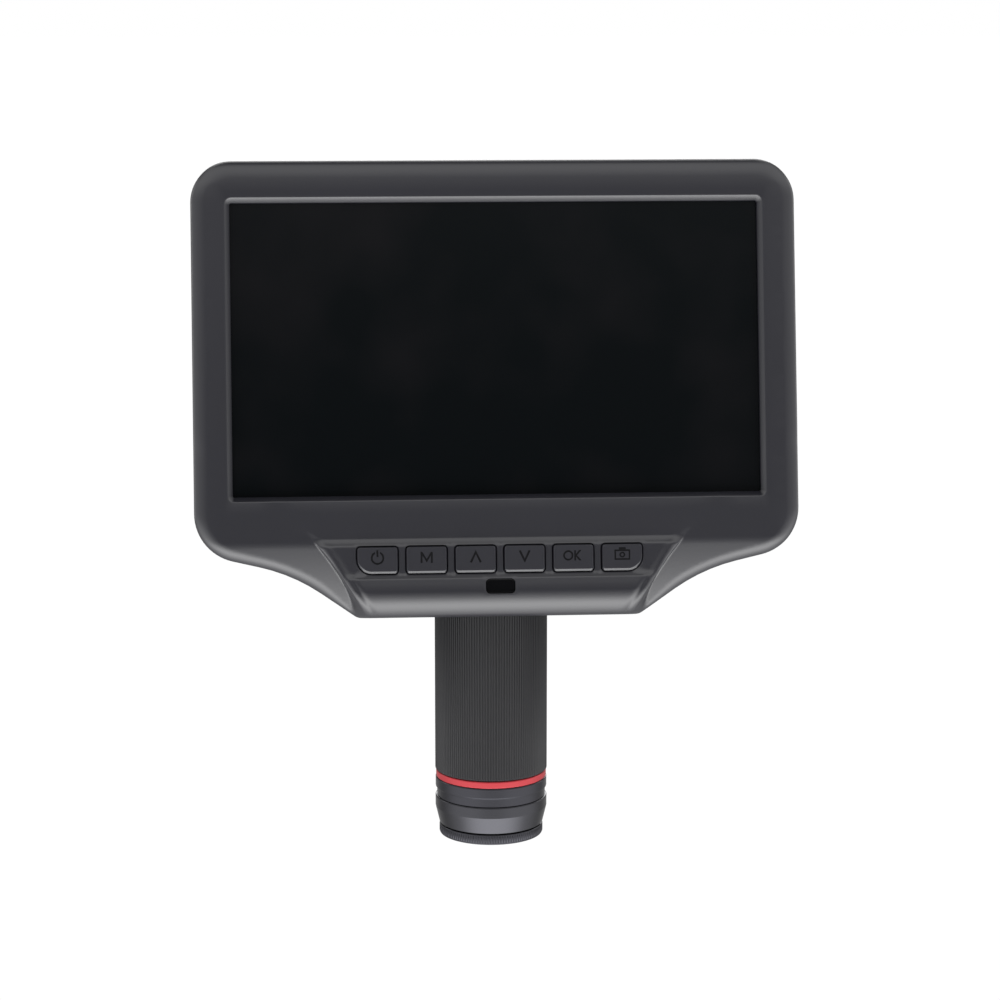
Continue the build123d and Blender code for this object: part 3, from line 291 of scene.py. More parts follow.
def filled(loop, spacing):  # extra points on long straight runs; spacing is a function of height
    result = []
    for (a, na), (b, nb) in zip(loop, loop[1:] + loop[:1]):
        result.append((a, na))
        count = int((b - a).length // spacing((a.y + b.y) / 2))
        for k in range(1, count + 1):
            t = k / (count + 1)
            result.append((a.lerp(b, t), na.lerp(nb, t).normalized()))
    return result


def circleLoop(x, y, radius, count=32, hole=False):  # a hole runs the other way round, with normals inward
    away = -1 if hole else 1
    rays = [(math.cos(a), math.sin(a)) for a in (away * math.tau * k / count for k in range(count))]
    return [(Vector((x + radius * c, y + radius * s)), Vector((c, s)) * away) for c, s in rays]


def inside(points, loop):  # which of the points lie inside a closed loop
    x, y = points[:, 0], points[:, 1]
    result = np.zeros(len(points), bool)
    for (x0, y0), (x1, y1) in zip(loop, np.roll(loop, -1, 0)):
        if y0 != y1:
            crossing = ((y0 > y) != (y1 > y)) & (x < (x1 - x0) * (y - y0) / (y1 - y0) + x0)
            result ^= crossing
    return result


def smooth(low, high, value):  # soft step from 0 to 1
    t = np.clip((value - low) / (high - low), 0, 1)
    return t * t * (3 - 2 * t)


def softMin(a, b, width):  # the smaller of two heights, blended over a width
    t = np.clip(0.5 + 0.5 * (b - a) / width, 0, 1)
    return b + (a - b) * t - width * t * (1 - t)


def skin(rings, holes, fill):
    # triangles inside the first ring and outside the holes, and their middles; points keep their order
    coordinates, edges = [], []
    for ring in rings:
        first = len(coordinates)
        coordinates += [Vector(p) for p in ring]
        edges += [(first + k, first + (k + 1) % len(ring)) for k in range(len(ring))]
    coordinates += [Vector(p) for p in fill]
    verts, _, faces, _, _, _ = delaunay_2d_cdt(coordinates, edges, [], 0, 1e-7, True)
    if len(verts) != len(coordinates):
        print("note: a surface has", len(verts), "points for", len(coordinates))
    flat = np.array([tuple(v) for v in verts])
    middles = flat[np.array(faces)].mean(1)
    good = inside(middles, np.array([tuple(p) for p in rings[0]]))
    for ring in holes:
        good &= ~inside(middles, np.array([tuple(p) for p in ring]))
    return flat, [list(f) for f, kept in zip(faces, good) if kept], middles[good]


def band(one, two):  # quads between two rings of point numbers
    return [[one[k - 1], one[k], two[k], two[k - 1]] for k in range(len(one))]


def capPiece(outline, rim, steps, surface, place, marks=(), markDepth=0.0, narrow=1.0, markEdge=0.05):
    # a top with a rounded rim and sunk marks, walls that step down, and a closed bottom; the rim's width is
    # multiplied by narrow except on edges that face down
    widths = [narrow + (1 - narrow) * float(smooth(0.2, 0.8, -n.y)) for _, n in outline]
    rings = [[p - n * inset * w for (p, n), w in zip(outline, widths)] for inset, _ in rim]
    drops = [drop for _, drop in rim]
    for loop in marks:
        rings += [[p for p, _ in loop], [p - n * markEdge for p, n in loop]]
        drops += [0.0, markDepth]
    flat, faces, middles = skin(rings, [], [])
    fall = np.zeros(len(flat))
    fall[:sum(map(len, rings))] = np.repeat(drops, [len(ring) for ring in rings])
    tops = surface(flat[:, 0], flat[:, 1]) - fall
    points = [place(x, y, z) for (x, y), z in zip(flat, tops)]
    sunk = np.zeros(len(faces), bool)
    for loop in marks:
        sunk ^= inside(middles, np.array([tuple(p) for p, _ in loop]))
    ring = list(range(len(outline)))
    for grow, level in steps:
        lower = list(range(len(points), len(points) + len(outline)))
        points += [place(*(p + n * grow), level) for p, n in outline]
        faces += band(ring, lower)
        ring = lower
    faces.append(ring)
    return points, faces, [int(s) for s in sunk] + [0] * (len(faces) - len(sunk))


def roundRim(size, turns=(90, 72, 54, 36, 18, 0), flat=0.08):
    # steps in from the outline and down from the flat top, and a flat strip inside them
    curve = [(size * (1 - math.sin(math.radians(t))), size * (1 - math.cos(math.radians(t)))) for t in turns]
    return [*curve, (size + flat, 0.0)]


def lathe(corners, segments=160, longWall=0.6, strip=0.06):
    # closed outline (radius, height, rounding) swept round the optical axis; a narrow strip at each end of a
    # long wall keeps the shading of the wall between even
    profile, corner = [], [p for p, _ in roundedOutline(corners, 0.3)]
    for p, q in zip(corner, corner[1:] + corner[:1]):
        profile.append(p)
        length = (q - p).length
        if length > longWall:
            profile += [p.lerp(q, strip / length), p.lerp(q, 1 - strip / length)]
    points = [Vector((p.x * math.cos(a), p.x * math.sin(a), p.y)) * mm
              for a in np.linspace(0, math.tau, segments, endpoint=False) for p in profile]
    size = len(profile)
    rings = [list(range(k * size, (k + 1) * size)) for k in range(segments)]
    return points, [f for one, two in zip(rings, rings[1:] + rings[:1]) for f in band(one, two)]


def repeatTree():  # Geometry Nodes: copies of one shape on each place, turned step by step about an axis
    tree = bpy.data.node_groups.new("repeatShape", "GeometryNodeTree")
    for name, kind in (("Places", "Geometry"), ("Shape", "Object"), ("Copies", "Int"), ("Axis", "Vector"),
                       ("Step", "Float"), ("Looseness", "Float"), ("Seed", "Int"), ("Finish", "Material")):
        tree.interface.new_socket(name, in_out="INPUT", socket_type="NodeSocket" + kind)
    tree.interface.new_socket("Result", in_out="OUTPUT", socket_type="NodeSocketGeometry")
    given = addNode(tree, "NodeGroupInput").outputs
    many = addNode(tree, "GeometryNodeDuplicateElements", {"domain": "POINT"},
                   {"Geometry": given["Places"], "Amount": given["Copies"]})
    count = addNode(tree, "GeometryNodeInputIndex").outputs[0]
    least = addNode(tree, "ShaderNodeMath", {"operation": "MULTIPLY", 1: -1.0}, {0: given["Looseness"]})
    loose = addNode(tree, "FunctionNodeRandomValue", {"data_type": "FLOAT"},
                    {2: least.outputs[0], 3: given["Looseness"], "Seed": given["Seed"]}).outputs[1]
    angle = addNode(tree, "ShaderNodeMath", {"operation": "MULTIPLY_ADD"},
                    {0: count, 1: given["Step"], 2: loose}).outputs[0]
    turn = addNode(tree, "FunctionNodeAxisAngleToRotation", {}, {"Axis": given["Axis"], "Angle": angle})
    shape = addNode(tree, "GeometryNodeObjectInfo", {}, {"Object": given["Shape"]}).outputs["Geometry"]
    copies = addNode(tree, "GeometryNodeInstanceOnPoints", {},
                     {"Points": many.outputs["Geometry"], "Instance": shape, "Rotation": turn.outputs[0]})
    real = addNode(tree, "GeometryNodeRealizeInstances", {}, {0: copies.outputs[0]})
    painted = addNode(tree, "GeometryNodeSetMaterial", {},
                      {"Geometry": real.outputs[0], "Material": given["Finish"]})
    addNode(tree, "NodeGroupOutput", {}, {0: painted.outputs[0]})
    return tree


def repeated(name, shape, places, inputs, ride):  # a piece made of copies of a shape; ride is for finishPiece
    source = bpy.data.objects.new(name + "Shape", bpy.data.meshes.new(name + "Shape"))
    source.data.from_pydata([tuple(p) for p in shape[0]], [], shape[1])
    mesh = bpy.data.meshes.new(name + "Places")
    mesh.from_pydata([tuple(p) for p in places], [], [])
    obj = bpy.data.objects.new(name, mesh)
    for item in (source, obj):
        bpy.context.scene.collection.objects.link(item)
    modifier = obj.modifiers.new("repeat", "NODES")
    modifier.node_group = repeater
    inputs = {"Shape": source, **inputs}
    for socket in repeater.interface.items_tree:
        if socket.name in inputs:
            modifier[socket.identifier] = inputs[socket.name]
    graph = bpy.context.evaluated_depsgraph_get()
    result = bpy.data.meshes.new_from_object(obj.evaluated_get(graph))
    obj.modifiers.clear()
    obj.data = result
    bpy.data.objects.remove(source)
    finishPiece(obj, *ride)
    print(name + ":", len(result.polygons), "faces")


repeater = repeatTree()

chin = {  # flared chin: bend, facets, keystone crest, button field, lip
    "bendHeight": 21.5, "bendWidth": 1.3, "facetSlope": 0.2, "facetCurve": 0.0047,
    "creaseHeight": 23.0, "stepHeight": 21.2, "field": 1.2, "fieldLow": 12.7, "lipHeight": 7.8, "lip": 2.4,
    "lipRadius": 9.0, "crestHalf": 38.5, "crestSpread": 0.61, "crestFlare": 0.012, "flareHeight": 10.0,
    "flankFoot": 1.3, "flankRise": 7.0, "flankHeight": 12.0, "crestDrop": 0.8, "crestRoll": 3.2,
    "fieldHalf": 42.5, "fieldFoot": 12.2, "spread": 0.637, "band": 3.6,
    "grooveIn": 2.4, "grooveWidth": 0.8, "grooveDepth": 0.3, "grooveEnds": (9.0, 13.5),
    "stepRun": (-0.6, -0.2), "stepShare": (1.0, 0.93, 0.0),
    "backHeights": (12.2, 17.5), "back": (2.15, 1.75, 1.35),
    "lipRun": (0.0, 0.3, 0.7, 1.0), "lipShare": (1.0, 0.99, 0.86, 0.0),
    "ridge": (0.35, 0.9), "ridgeHeights": (14, 21), "bend": 0.9,
}


def crestLine(h):  # half width of the keystone at its crest
    flare = np.clip(h - chin["flareHeight"], 0, 99) ** 2
    return chin["crestHalf"] + chin["crestSpread"] * h + chin["crestFlare"] * flare


def chinSurface(x, h):  # height of the front over the bezel's plane, millimetres
    c = chin
    side = np.abs(x)
    fall = c["bendHeight"] - h
    bend = (fall + c["bendWidth"]) ** 2 / (4 * c["bendWidth"])
    ramp = np.where(fall < -c["bendWidth"], 0, np.where(fall > c["bendWidth"], fall, bend))
    facet = -(c["facetSlope"] * ramp + c["facetCurve"] * ramp ** 2)
    under = np.clip(c["lipHeight"] - h, 0, c["lipHeight"])
    roll = c["lip"] - c["lipRadius"] + np.sqrt(c["lipRadius"] ** 2 - under ** 2)
    step = np.interp(h, [*(c["stepHeight"] + run for run in c["stepRun"]), c["creaseHeight"]], c["stepShare"])
    rise = np.interp(h, [c["lipHeight"], *c["backHeights"], c["stepHeight"]], [c["lip"], *c["back"]]) * step
    crest = np.where(h < c["lipHeight"], roll, rise)
    floor = c["field"] * step
    up = (h - c["lipHeight"]) / (c["fieldLow"] - c["lipHeight"])
    floor = floor + (crest - floor) * np.interp(up, c["lipRun"], c["lipShare"])
    inner = c["fieldHalf"] + c["spread"] * (h - c["fieldFoot"])
    key = floor + (crest - floor) * smooth(0, c["band"], side - inner)
    inDepth = crestLine(h) - side
    groove = np.exp(-((inDepth - c["grooveIn"]) / c["grooveWidth"]) ** 2) * (1 - smooth(*c["grooveEnds"], h))
    key = key - c["grooveDepth"] * groove - c["crestDrop"] * np.clip(1 - inDepth / c["crestRoll"], 0, 2) ** 2
    steepness = c["flankFoot"] + (c["flankRise"] - c["flankFoot"]) * smooth(0, c["flankHeight"], h)
    flank = crest - c["crestDrop"] + inDepth * steepness
    body = softMin(key, flank, c["ridge"][0] + c["ridge"][1] * smooth(*c["ridgeHeights"], h))
    return -softMin(-facet, -body, c["bend"])


bezelRim = {  # the rounded rim: width and drop at the chin's foot, and what each zone of the outline adds
    "foot": (1.2, 1.1), "low": (1.9, 1.5), "side": (1.6, 0.4), "top": (1.4, -0.8),
    "lowHeights": (0.5, 9.0), "sideHeights": (14.0, 26.0), "topFacing": (0.55, 0.95),
    "turns": (90, 76, 62, 48, 34, 20, 8),
}


def rimSize(point, normal):  # width and drop of the rounded rim at a place on the outline
    low = float(smooth(*bezelRim["lowHeights"], point.y))
    side = float(smooth(*bezelRim["sideHeights"], point.y))
    top = float(smooth(*bezelRim["topFacing"], normal.y))
    zones = zip(bezelRim["foot"], bezelRim["low"], bezelRim["side"], bezelRim["top"])
    return tuple(foot + a * low + b * side + c * top for foot, a, b, c in zones)


buttons = {
    "names": ["power", "menu", "up", "down", "ok", "camera"], "width": 11.8, "height": 7.8, "pitch": 14.25,
    "middle": 16.8, "corner": 1.0, "endCorner": 4.2, "proud": 0.8, "gap": 0.25, "signDepth": 0.13,
    "rim": [(0.0, 0.6), (0.05, 0.4), (0.42, 0.13), (0.54, 0.04), (0.7, 0.0), (0.78, 0.0)],
    "hole": [(0.35, 0.0), (0.12, 0.04), (0.0, 0.18)], "holeClear": 0.6, "signRise": 0.7,
    "flangeTop": -2.6, "flangeBottom": -3.6, "flange": 0.7,
}
window = {"width": 8.4, "height": 4.2, "middle": 8.9, "corner": 1.1, "gap": 0.1, "level": 1.5, "edge": 0.3,
          "flange": 0.7, "flangeTop": -2.5, "flangeBottom": -3.3,
          "hole": [(0.3, 0.0), (0.1, 0.04), (0.0, 0.15)], "holeClear": 0.55}
opening = {"width": 154.4, "height": 85.5, "middle": 78.3, "chamfer": 1.3, "corner": 0.5, "holeClear": 2.6}


def boxCorners(x, y, width, height, radius):
    w, t = width / 2, height / 2
    return [(x - w, y - t, radius), (x + w, y - t, radius), (x + w, y + t, radius), (x - w, y + t, radius)]


def buttonCorners(index):  # the outer low corner of each end button is well rounded
    b = buttons
    corners = boxCorners((index - 2.5) * b["pitch"], b["middle"], b["width"], b["height"], b["corner"])
    for end, corner in ((0, 0), (5, 1)):
        if index == end:
            corners[corner] = (*corners[corner][:2], b["endCorner"])
    return corners


bezelMesh = {  # spacing of the bezel's points, millimetres: close at the chin, wide on the plain face
    "outline": (22, 1.2, 5.0), "mouths": (25, 1.0, 6.0), "chinTo": 24.6, "chin": 0.7, "face": 4.0,
    "arc": 0.09, "mouthArc": 0.3, "rimShare": 0.9, "rimOff": 0.25, "ridgeRows": 0.45, "ridgeTo": 23.4,
    "rows": ((0.6, 11.0, 0.5), (11.0, 13.0, 0.25), (13.2, 20.4, 0.5), (20.5, 23.6, 0.2), (24.0, 24.5, 0.6)),
    "ridge": (-3.2, -2.7, -2.2, -1.75, -1.35, -1.0, -0.7, -0.45, -0.2,
              0, 0.2, 0.4, 0.62, 0.9, 1.2, 1.6, 2.1, 2.6),
}


def spacing(name):  # point spacing below and above a height
    height, close, wide = bezelMesh[name]
    return lambda y: close if y < height else wide


def housingOutline():  # the keystone foot, the hollow flanks and the rounded shoulders and top
    half = housing["width"] / 2
    right = [(housing["footHalf"], 0, housing["footRadius"]),
             (housing["flankHalf"], housing["flankHeight"], housing["flankRadius"]),
             (half, housing["shoulderHeight"], housing["lowRadius"]),
             (half, housing["height"], housing["topRadius"])]
    corners = right + [(-x, y, r) for x, y, r in reversed(right)]
    return filled(roundedOutline(corners, bezelMesh["arc"]), spacing("outline"))


def mouths():  # openings: corners, gap, rim as (grow, drop), and how far loose points stay clear
    o, b, w = opening, buttons, window
    chamfer = o["chamfer"]
    yield (boxCorners(0, o["middle"], o["width"], o["height"], o["corner"]), 0.0,
           [(chamfer + 0.3, 0.0), (chamfer + 0.1, 0.04), (chamfer - 0.08, 0.18), (0.06, chamfer - 0.05),
            (0.0, chamfer + 0.1)], o["holeClear"])
    for i in range(len(b["names"])):
        yield buttonCorners(i), b["gap"], b["hole"], b["holeClear"]
    corners = boxCorners(0, w["middle"], w["width"], w["height"], w["corner"])
    yield corners, w["gap"], w["hole"], w["holeClear"]


def loosePoints():  # places on the bezel's surface between its outlines, in rows and along the chin's ridges
    m = bezelMesh
    rows = [*(y for zone in m["rows"] for y in np.arange(*zone)), m["chinTo"]]
    lower = [(x, y) for y in rows for x in np.arange(-88, 88.1, m["chin"])]
    lower = [p for p in lower if p[1] > m["ridgeTo"] or not -3.6 < abs(p[0]) - crestLine(p[1]) < 3.0]
    upper = [(x, y) for y in np.arange(26, 132, m["face"]) for x in np.arange(-84, 84.1, m["face"])]
    ridges = [(side * (crestLine(y) + d), y)
              for y in np.arange(0.8, 23.5, m["ridgeRows"]) for side in (-1, 1) for d in m["ridge"]]
    return np.array(lower + upper + ridges)


def rimLoops(outline):  # loops of the rounded rim, and how far each of their points lies below the face
    loops, drops = [], []
    sizes = [rimSize(point, normal) for point, normal in outline]
    for turn in bezelRim["turns"]:
        angle = math.radians(turn)
        loops.append([p - n * w * (1 - math.sin(angle)) for (p, n), (w, _) in zip(outline, sizes)])
        drops.append([drop * (1 - math.cos(angle)) for _, drop in sizes])
    return loops, drops


def buildBezel():
    outline = housingOutline()
    loops, drops = rimLoops(outline)
    rimCount, size = len(loops), len(outline)
    fill = loosePoints()
    share, off = bezelMesh["rimShare"], bezelMesh["rimOff"]
    keep = inside(fill, np.array([tuple(p - n * (rimSize(p, n)[0] * share + off)) for p, n in outline]))
    holes = []
    for shape, gap, rings, off in mouths():
        base = filled(roundedOutline(shape, bezelMesh["mouthArc"]), spacing("mouths"))
        for grow, drop in rings:
            loops.append([p + n * (gap + grow) for p, n in base])
            drops.append([drop] * len(base))
        holes.append(len(loops) - 1)
        edge = np.array([tuple(p) for p in loops[-1]])
        keep &= ~np.all((fill > edge.min(0) - off) & (fill < edge.max(0) + off), 1)
    flat, faces, _ = skin(loops, [loops[index] for index in holes], fill[keep])
    known = [d for ring in drops for d in ring]
    fall = np.zeros(len(flat))
    fall[:len(known)] = known
    points = [onScreen(x, y, z) for (x, y), z in zip(flat, chinSurface(flat[:, 0], flat[:, 1]) - fall)]

    inward = flat.copy()  # the inner face, a wall's thickness behind the outer one
    for k in range(rimCount):
        for j, (point, normal) in enumerate(outline):
            depth = (point - loops[k][j]).length
            inward[k * size + j] = tuple(point - normal * (housing["wall"] + depth * housing["innerRim"]))
    under = np.minimum(-housing["frontWall"], chinSurface(inward[:, 0], inward[:, 1]) - housing["chinWall"])
    below = len(points)
    points += [onScreen(x, y, z) for (x, y), z in zip(inward, under)]
    faces += [[below + i for i in f] for f in faces]

    ring = list(range(size))  # the side wall down to the parting line, and the edges of the openings
    foot, groove = -housing["parting"], housing["partingGroove"]
    for level, inset in ((foot + groove, 0.0), (foot, groove), (foot, housing["wall"])):
        lower = list(range(len(points), len(points) + size))
        points += [onScreen(*(p - n * inset), level) for p, n in outline]
        faces += band(ring, lower)
        ring = lower
    faces += band(ring, [below + k for k in range(size)])
    starts = np.cumsum([0] + [len(loop) for loop in loops])
    for index in holes:
        edge = list(range(starts[index], starts[index + 1]))
        faces += band(edge, [below + k for k in edge])
    used = sorted({i for f in faces for i in f})
    renumber = {old: new for new, old in enumerate(used)}
    return [points[i] for i in used], [[renumber[i] for i in f] for f in faces]


points, faces = buildBezel()
addPiece("bezelShell", points, faces, "screen", "bezel_plastic", ["front_bezel"], ["bezelAbs"], sharp=50)
print("bezel:", len(faces), "faces")

signs = {  # closed strokes about the button's middle, millimetres
    "menu": [(-1.75, -1.6), (-1.2, -1.6), (-1.2, 0.55), (0, -1.45), (1.2, 0.55), (1.2, -1.6), (1.75, -1.6),
             (1.75, 1.6), (1.25, 1.6), (0, -0.45), (-1.25, 1.6), (-1.75, 1.6)],
    "chevron": [(-1.7, -1.5), (-1.15, -1.75), (0, 0.75), (1.15, -1.75), (1.7, -1.5), (0, 1.95)],
    "kay": [(0.2, -1.5), (0.7, -1.5), (0.7, -0.4), (1.6, -1.5), (2.3, -1.5), (1.0, 0.0), (2.3, 1.5),
            (1.6, 1.5), (0.7, 0.4), (0.7, 1.5), (0.2, 1.5)],
    "camera": [(-2.3, -1.5), (2.3, -1.5), (2.3, 1.5), (1.0, 1.5), (1.0, 2.15), (-1.0, 2.15), (-1.0, 1.5),
               (-2.3, 1.5)],
    "cameraRoom": [(-1.85, -1.05), (-1.85, 1.05), (1.85, 1.05), (1.85, -1.05)],
    "powerBar": [(-0.26, 0.3), (0.26, 0.3), (0.26, 2.3), (-0.26, 2.3)],
}
powerArc = ((1.95, 114, 426), (1.42, 422, 118))  # radius and turn of the ring's outer and inner side
signRings = {"ok": (-1.55, 1.5, 0.98), "camera": (0, 0.85, 0.4)}  # place across, outer and inner radius


def mitred(name, turn=1):  # a sign's stroke as points with normals; turn -1 stands it on its head
    return roundedOutline([(x * turn, y * turn, 0) for x, y in signs[name]])


def signLoops(name):  # the closed loops of a button's sign
    if name == "power":
        arc = [(r, math.radians(a)) for r, start, end in powerArc for a in np.linspace(start, end, 27)]
        return [roundedOutline([(r * math.cos(a), r * math.sin(a), 0) for r, a in arc]), mitred("powerBar")]
    if name in signRings:
        x, outer, inner = signRings[name]
        ring = [circleLoop(x, 0, outer), circleLoop(x, 0, inner, hole=True)]
        return [*ring, mitred("kay")] if name == "ok" else [mitred("camera"), mitred("cameraRoom"), *ring]
    return [mitred("menu")] if name == "menu" else [mitred("chevron", 1 if name == "up" else -1)]


for i, name in enumerate(buttons["names"]):
    b = buttons
    middle = Vector(((i - 2.5) * b["pitch"], b["middle"]))
    face = chin["field"] + b["proud"]
    centre = middle + Vector((0, b["signRise"]))
    strokes = [[(p + centre, n) for p, n in loop] for loop in signLoops(name)]
    steps = [(0.0, b["flangeTop"]), (b["flange"], b["flangeTop"]), (b["flange"], b["flangeBottom"])]
    points, faces, looks = capPiece(roundedOutline(buttonCorners(i), 0.2), b["rim"], steps,
                                    lambda x, y: np.full(len(x), face), onScreen, strokes, b["signDepth"],
                                    narrow=0.4)
    addPiece(name + "Button", points, faces, "key_" + name, "button_plastic", ["button_" + name],
             ["buttonAbs", "signPaint"], looks)
print("buttons:", len(buttons["names"]))

w = window
corners = boxCorners(0, w["middle"], w["width"], w["height"], w["corner"])
outline = filled(roundedOutline(corners, 0.2), lambda y: 0.6)
steps = [(0.0, w["flangeTop"]), (w["flange"], w["flangeTop"]), (w["flange"], w["flangeBottom"])]
points, faces, _ = capPiece(outline, roundRim(w["edge"]), steps,
                            lambda x, y: np.full(len(x), w["level"]), onScreen)
addPiece("signalWindow", points, faces, "screen", "smoked_window", ["ir_window"], ["smokedWindow"])

# focus grip and lens end
nose = {  # heights on the optical axis and radii, millimetres
    "gripTop": -6.3, "gripBottom": -57.95, "gripBore": 15.9, "gripRoot": 16.95, "crest": 17.2, "ribs": 132,
    "ribHalf": 0.33, "crestHalf": 0.17,
    "tube": 14.45, "accentTop": -58.25, "accentBottom": -60.35, "accent": 16.95,
    "collarBottom": -63.7, "collar": 17.1, "neckBottom": -66.3, "neck": 16.65,
    "bandBottom": -69.7, "taper": 17.15, "taperBottom": -74.9, "taperEnd": 15.9,
    "tubeEnd": -68.3, "stem": 13.9, "stemTop": -72.3, "ringTop": -75.3, "ringBottom": -78.4, "ring": 15.95,
    "glass": 13.1, "glassLow": -77.4, "bore": 12.4, "teeth": 120, "tooth": 0.12,
    "toothHalf": 0.8, "toothCrest": 0.4, "toothEnds": (0.35, 0.3), "clear": 0.05, "sunk": 0.1,
}


def rib(radii, halves, low, high, ends=0.2, crown=(0.03, 0.12), sink=0.05):
    # one upright rib with a rounded crest, its steps under the crest in crown, and chamfered ends
    root, crest = radii
    wide, thin = halves
    middle = (wide + thin) / 2
    half = [(crest - crown[0], thin), (crest - crown[1], middle), (root, wide)]
    section = [(r, -t) for r, t in reversed(half)] + [(crest, 0)] + half
    points, rings = [], []
    for level, cut in ((low, ends), (low + ends, 0), (high - ends, 0), (high, ends)):
        rings.append(list(range(len(points), len(points) + len(section))))
        points += [Vector((max(root - sink, r - cut), t, level)) * mm for r, t in section]
    faces = [f for one, two in zip(rings, rings[1:]) for f in band(one, two)]
    return points, faces + [rings[0], rings[-1]]


n = nose
for name, corners, body, slot, replaced, look in (
    ("gripSleeve", [(n["gripBore"], n["gripBottom"], 0.1), (n["gripRoot"], n["gripBottom"], 0.3),
                    (n["gripRoot"], n["gripTop"], 0.3), (n["gripBore"], n["gripTop"], 0.1)],
     "focus_ring", "grip_rubber", [], "gripRubber"),
    ("accentBand", [(n["tube"], n["accentBottom"], 0), (n["accent"], n["accentBottom"], 0.35),
                    (n["accent"], n["accentTop"], 0.35), (n["tube"], n["accentTop"], 0)],
     "barrel", "accent_red", ["accent_ring"], "redAnodised"),
    ("noseCollar", [(n["tube"], n["neckBottom"], 0), (n["neck"], n["neckBottom"], 0.1),
                    (n["neck"], n["collarBottom"], 0.1), (n["collar"], n["collarBottom"], 0.35),
                    (n["collar"], n["accentBottom"], 0.35), (n["tube"], n["accentBottom"], 0)],
     "barrel", "nose_black", ["nose_collar"], "blackAnodised"),
    ("noseTaper", [(n["stem"] + n["clear"], n["taperBottom"], 0), (n["taperEnd"], n["taperBottom"], 0.25),
                   (n["taper"], n["bandBottom"], 0.3), (n["taper"], n["neckBottom"], 0.35),
                   (n["tube"], n["neckBottom"], 0), (n["tube"], n["tubeEnd"], 0),
                   (n["stem"] + n["clear"], n["tubeEnd"], 0)],
     "barrel", "nose_black", ["taper_ring"], "greyAnodised"),
    ("filterRing", [(n["bore"], n["ringBottom"], 0.25),
                    (n["ring"] - n["tooth"], n["ringBottom"], n["toothEnds"][0]),
                    (n["ring"] - n["tooth"], n["ringTop"], n["toothEnds"][1]),
                    (n["stem"], n["ringTop"], 0.1), (n["stem"], n["stemTop"], 0.2),
                    (n["glass"], n["stemTop"], 0.1),
                    (n["glass"], n["glassLow"], 0), (n["bore"], n["glassLow"], 0.1)],
     "barrel", "nose_black", ["filter_ring"], "blackAnodised"),
):
    points, faces = lathe(corners)
    addPiece(name, points, faces, body, slot, replaced, [look])
print("lens end turned")


def aroundAxis(name, count, shape, look, ride):  # copies of a rib, evenly spaced round the optical axis
    repeated(name, shape, [(0, 0, 0)],
             {"Copies": count, "Axis": (0, 0, 1), "Step": math.tau / count, "Looseness": 0.0, "Seed": 1,
              "Finish": materials[look]}, ride)


gripRib = rib((n["gripRoot"] - n["sunk"], n["crest"]), (n["ribHalf"], n["crestHalf"]),
              n["gripBottom"], n["gripTop"])
aroundAxis("gripRibs", n["ribs"], gripRib, "gripRubber", ("focus_ring", "grip_rubber", ["focus_grip"]))
toothHalf = math.pi * n["ring"] / n["teeth"]
tooth = rib((n["ring"] - n["tooth"] - n["sunk"], n["ring"]),
            (toothHalf * n["toothHalf"], toothHalf * n["toothCrest"]),
            n["ringBottom"] + n["toothEnds"][0], n["ringTop"] - n["toothEnds"][1])
aroundAxis("filterTeeth", n["teeth"], tooth, "blackAnodised", ("barrel", "nose_black", []))

# screws with cross recesses
screws = {
    "head": 1.9, "headHeight": 1.2, "shank": 0.9, "recess": 1.15, "slot": 0.24, "recessDepth": 0.6,
    "sink": 0.2, "thread": 3.6, "back": 21.0, "chinBack": 13.5, "sideIn": 5.3, "topIn": 15.4,
    "middle": 41.0, "chinIn": 18.5, "chinHeight": 23.6,
    "bracket": 2.0, "hingeHeight": 46.0, "bracketX": 20.6, "bracketRise": 5.4,
}


def screwShape(length):  # head up along the housing's back normal, top of the head at the origin
    s = screws
    a, c = s["slot"], s["recess"]
    cross = [(-a, -c), (a, -c), (a, -a), (c, -a), (c, a), (a, a),
             (a, c), (-a, c), (-a, a), (-c, a), (-c, -a), (-a, -a)]
    shank = s["shank"] - s["head"]
    steps = [(0.0, -s["headHeight"]), (shank, -s["headHeight"]), (shank, -s["headHeight"] - length)]
    points, faces, _ = capPiece(circleLoop(0, 0, s["head"], 28), roundRim(0.35), steps,
                                lambda x, y: np.zeros(len(x)),
                                lambda x, y, z: (Vector((x, 0, 0)) + upward * y - outward * z) * mm,
                                [roundedOutline([(x, y, 0) for x, y in cross])], s["recessDepth"])
    return points, faces


s = screws
half = housing["width"] / 2
heights = (housing["height"] - s["topIn"], s["middle"])
caseHigh = [onScreen(side * (half - s["sideIn"]), h, s["sink"] - s["back"])
            for side in (-1, 1) for h in heights]
caseLow = [onScreen(side * (half - s["chinIn"]), s["chinHeight"], s["sink"] - s["chinBack"])
           for side in (-1, 1)]
hinge = [onScreen(side * s["bracketX"], s["hingeHeight"] + up * s["bracketRise"],
                  -s["back"] - s["bracket"] - s["headHeight"]) for side in (-1, 1) for up in (-1, 1)]
held = s["thread"] - s["headHeight"] - s["sink"] - housing["parting"]
for name, places, length, replaced, seed in (
    ("caseScrewsHigh", caseHigh, s["back"] + held, ["case_screws"], 3),
    ("caseScrewsLow", caseLow, s["chinBack"] + held, [], 4),
    ("bracketScrews", hinge, s["bracket"] + housing["wall"], ["bracket_screws"], 5),
):
    repeated(name, screwShape(length), places,
             {"Copies": 1, "Axis": -outward, "Step": 0.0, "Looseness": math.pi, "Seed": seed,
              "Finish": materials["blackSteel"]}, ("screen", "screw_steel", replaced))

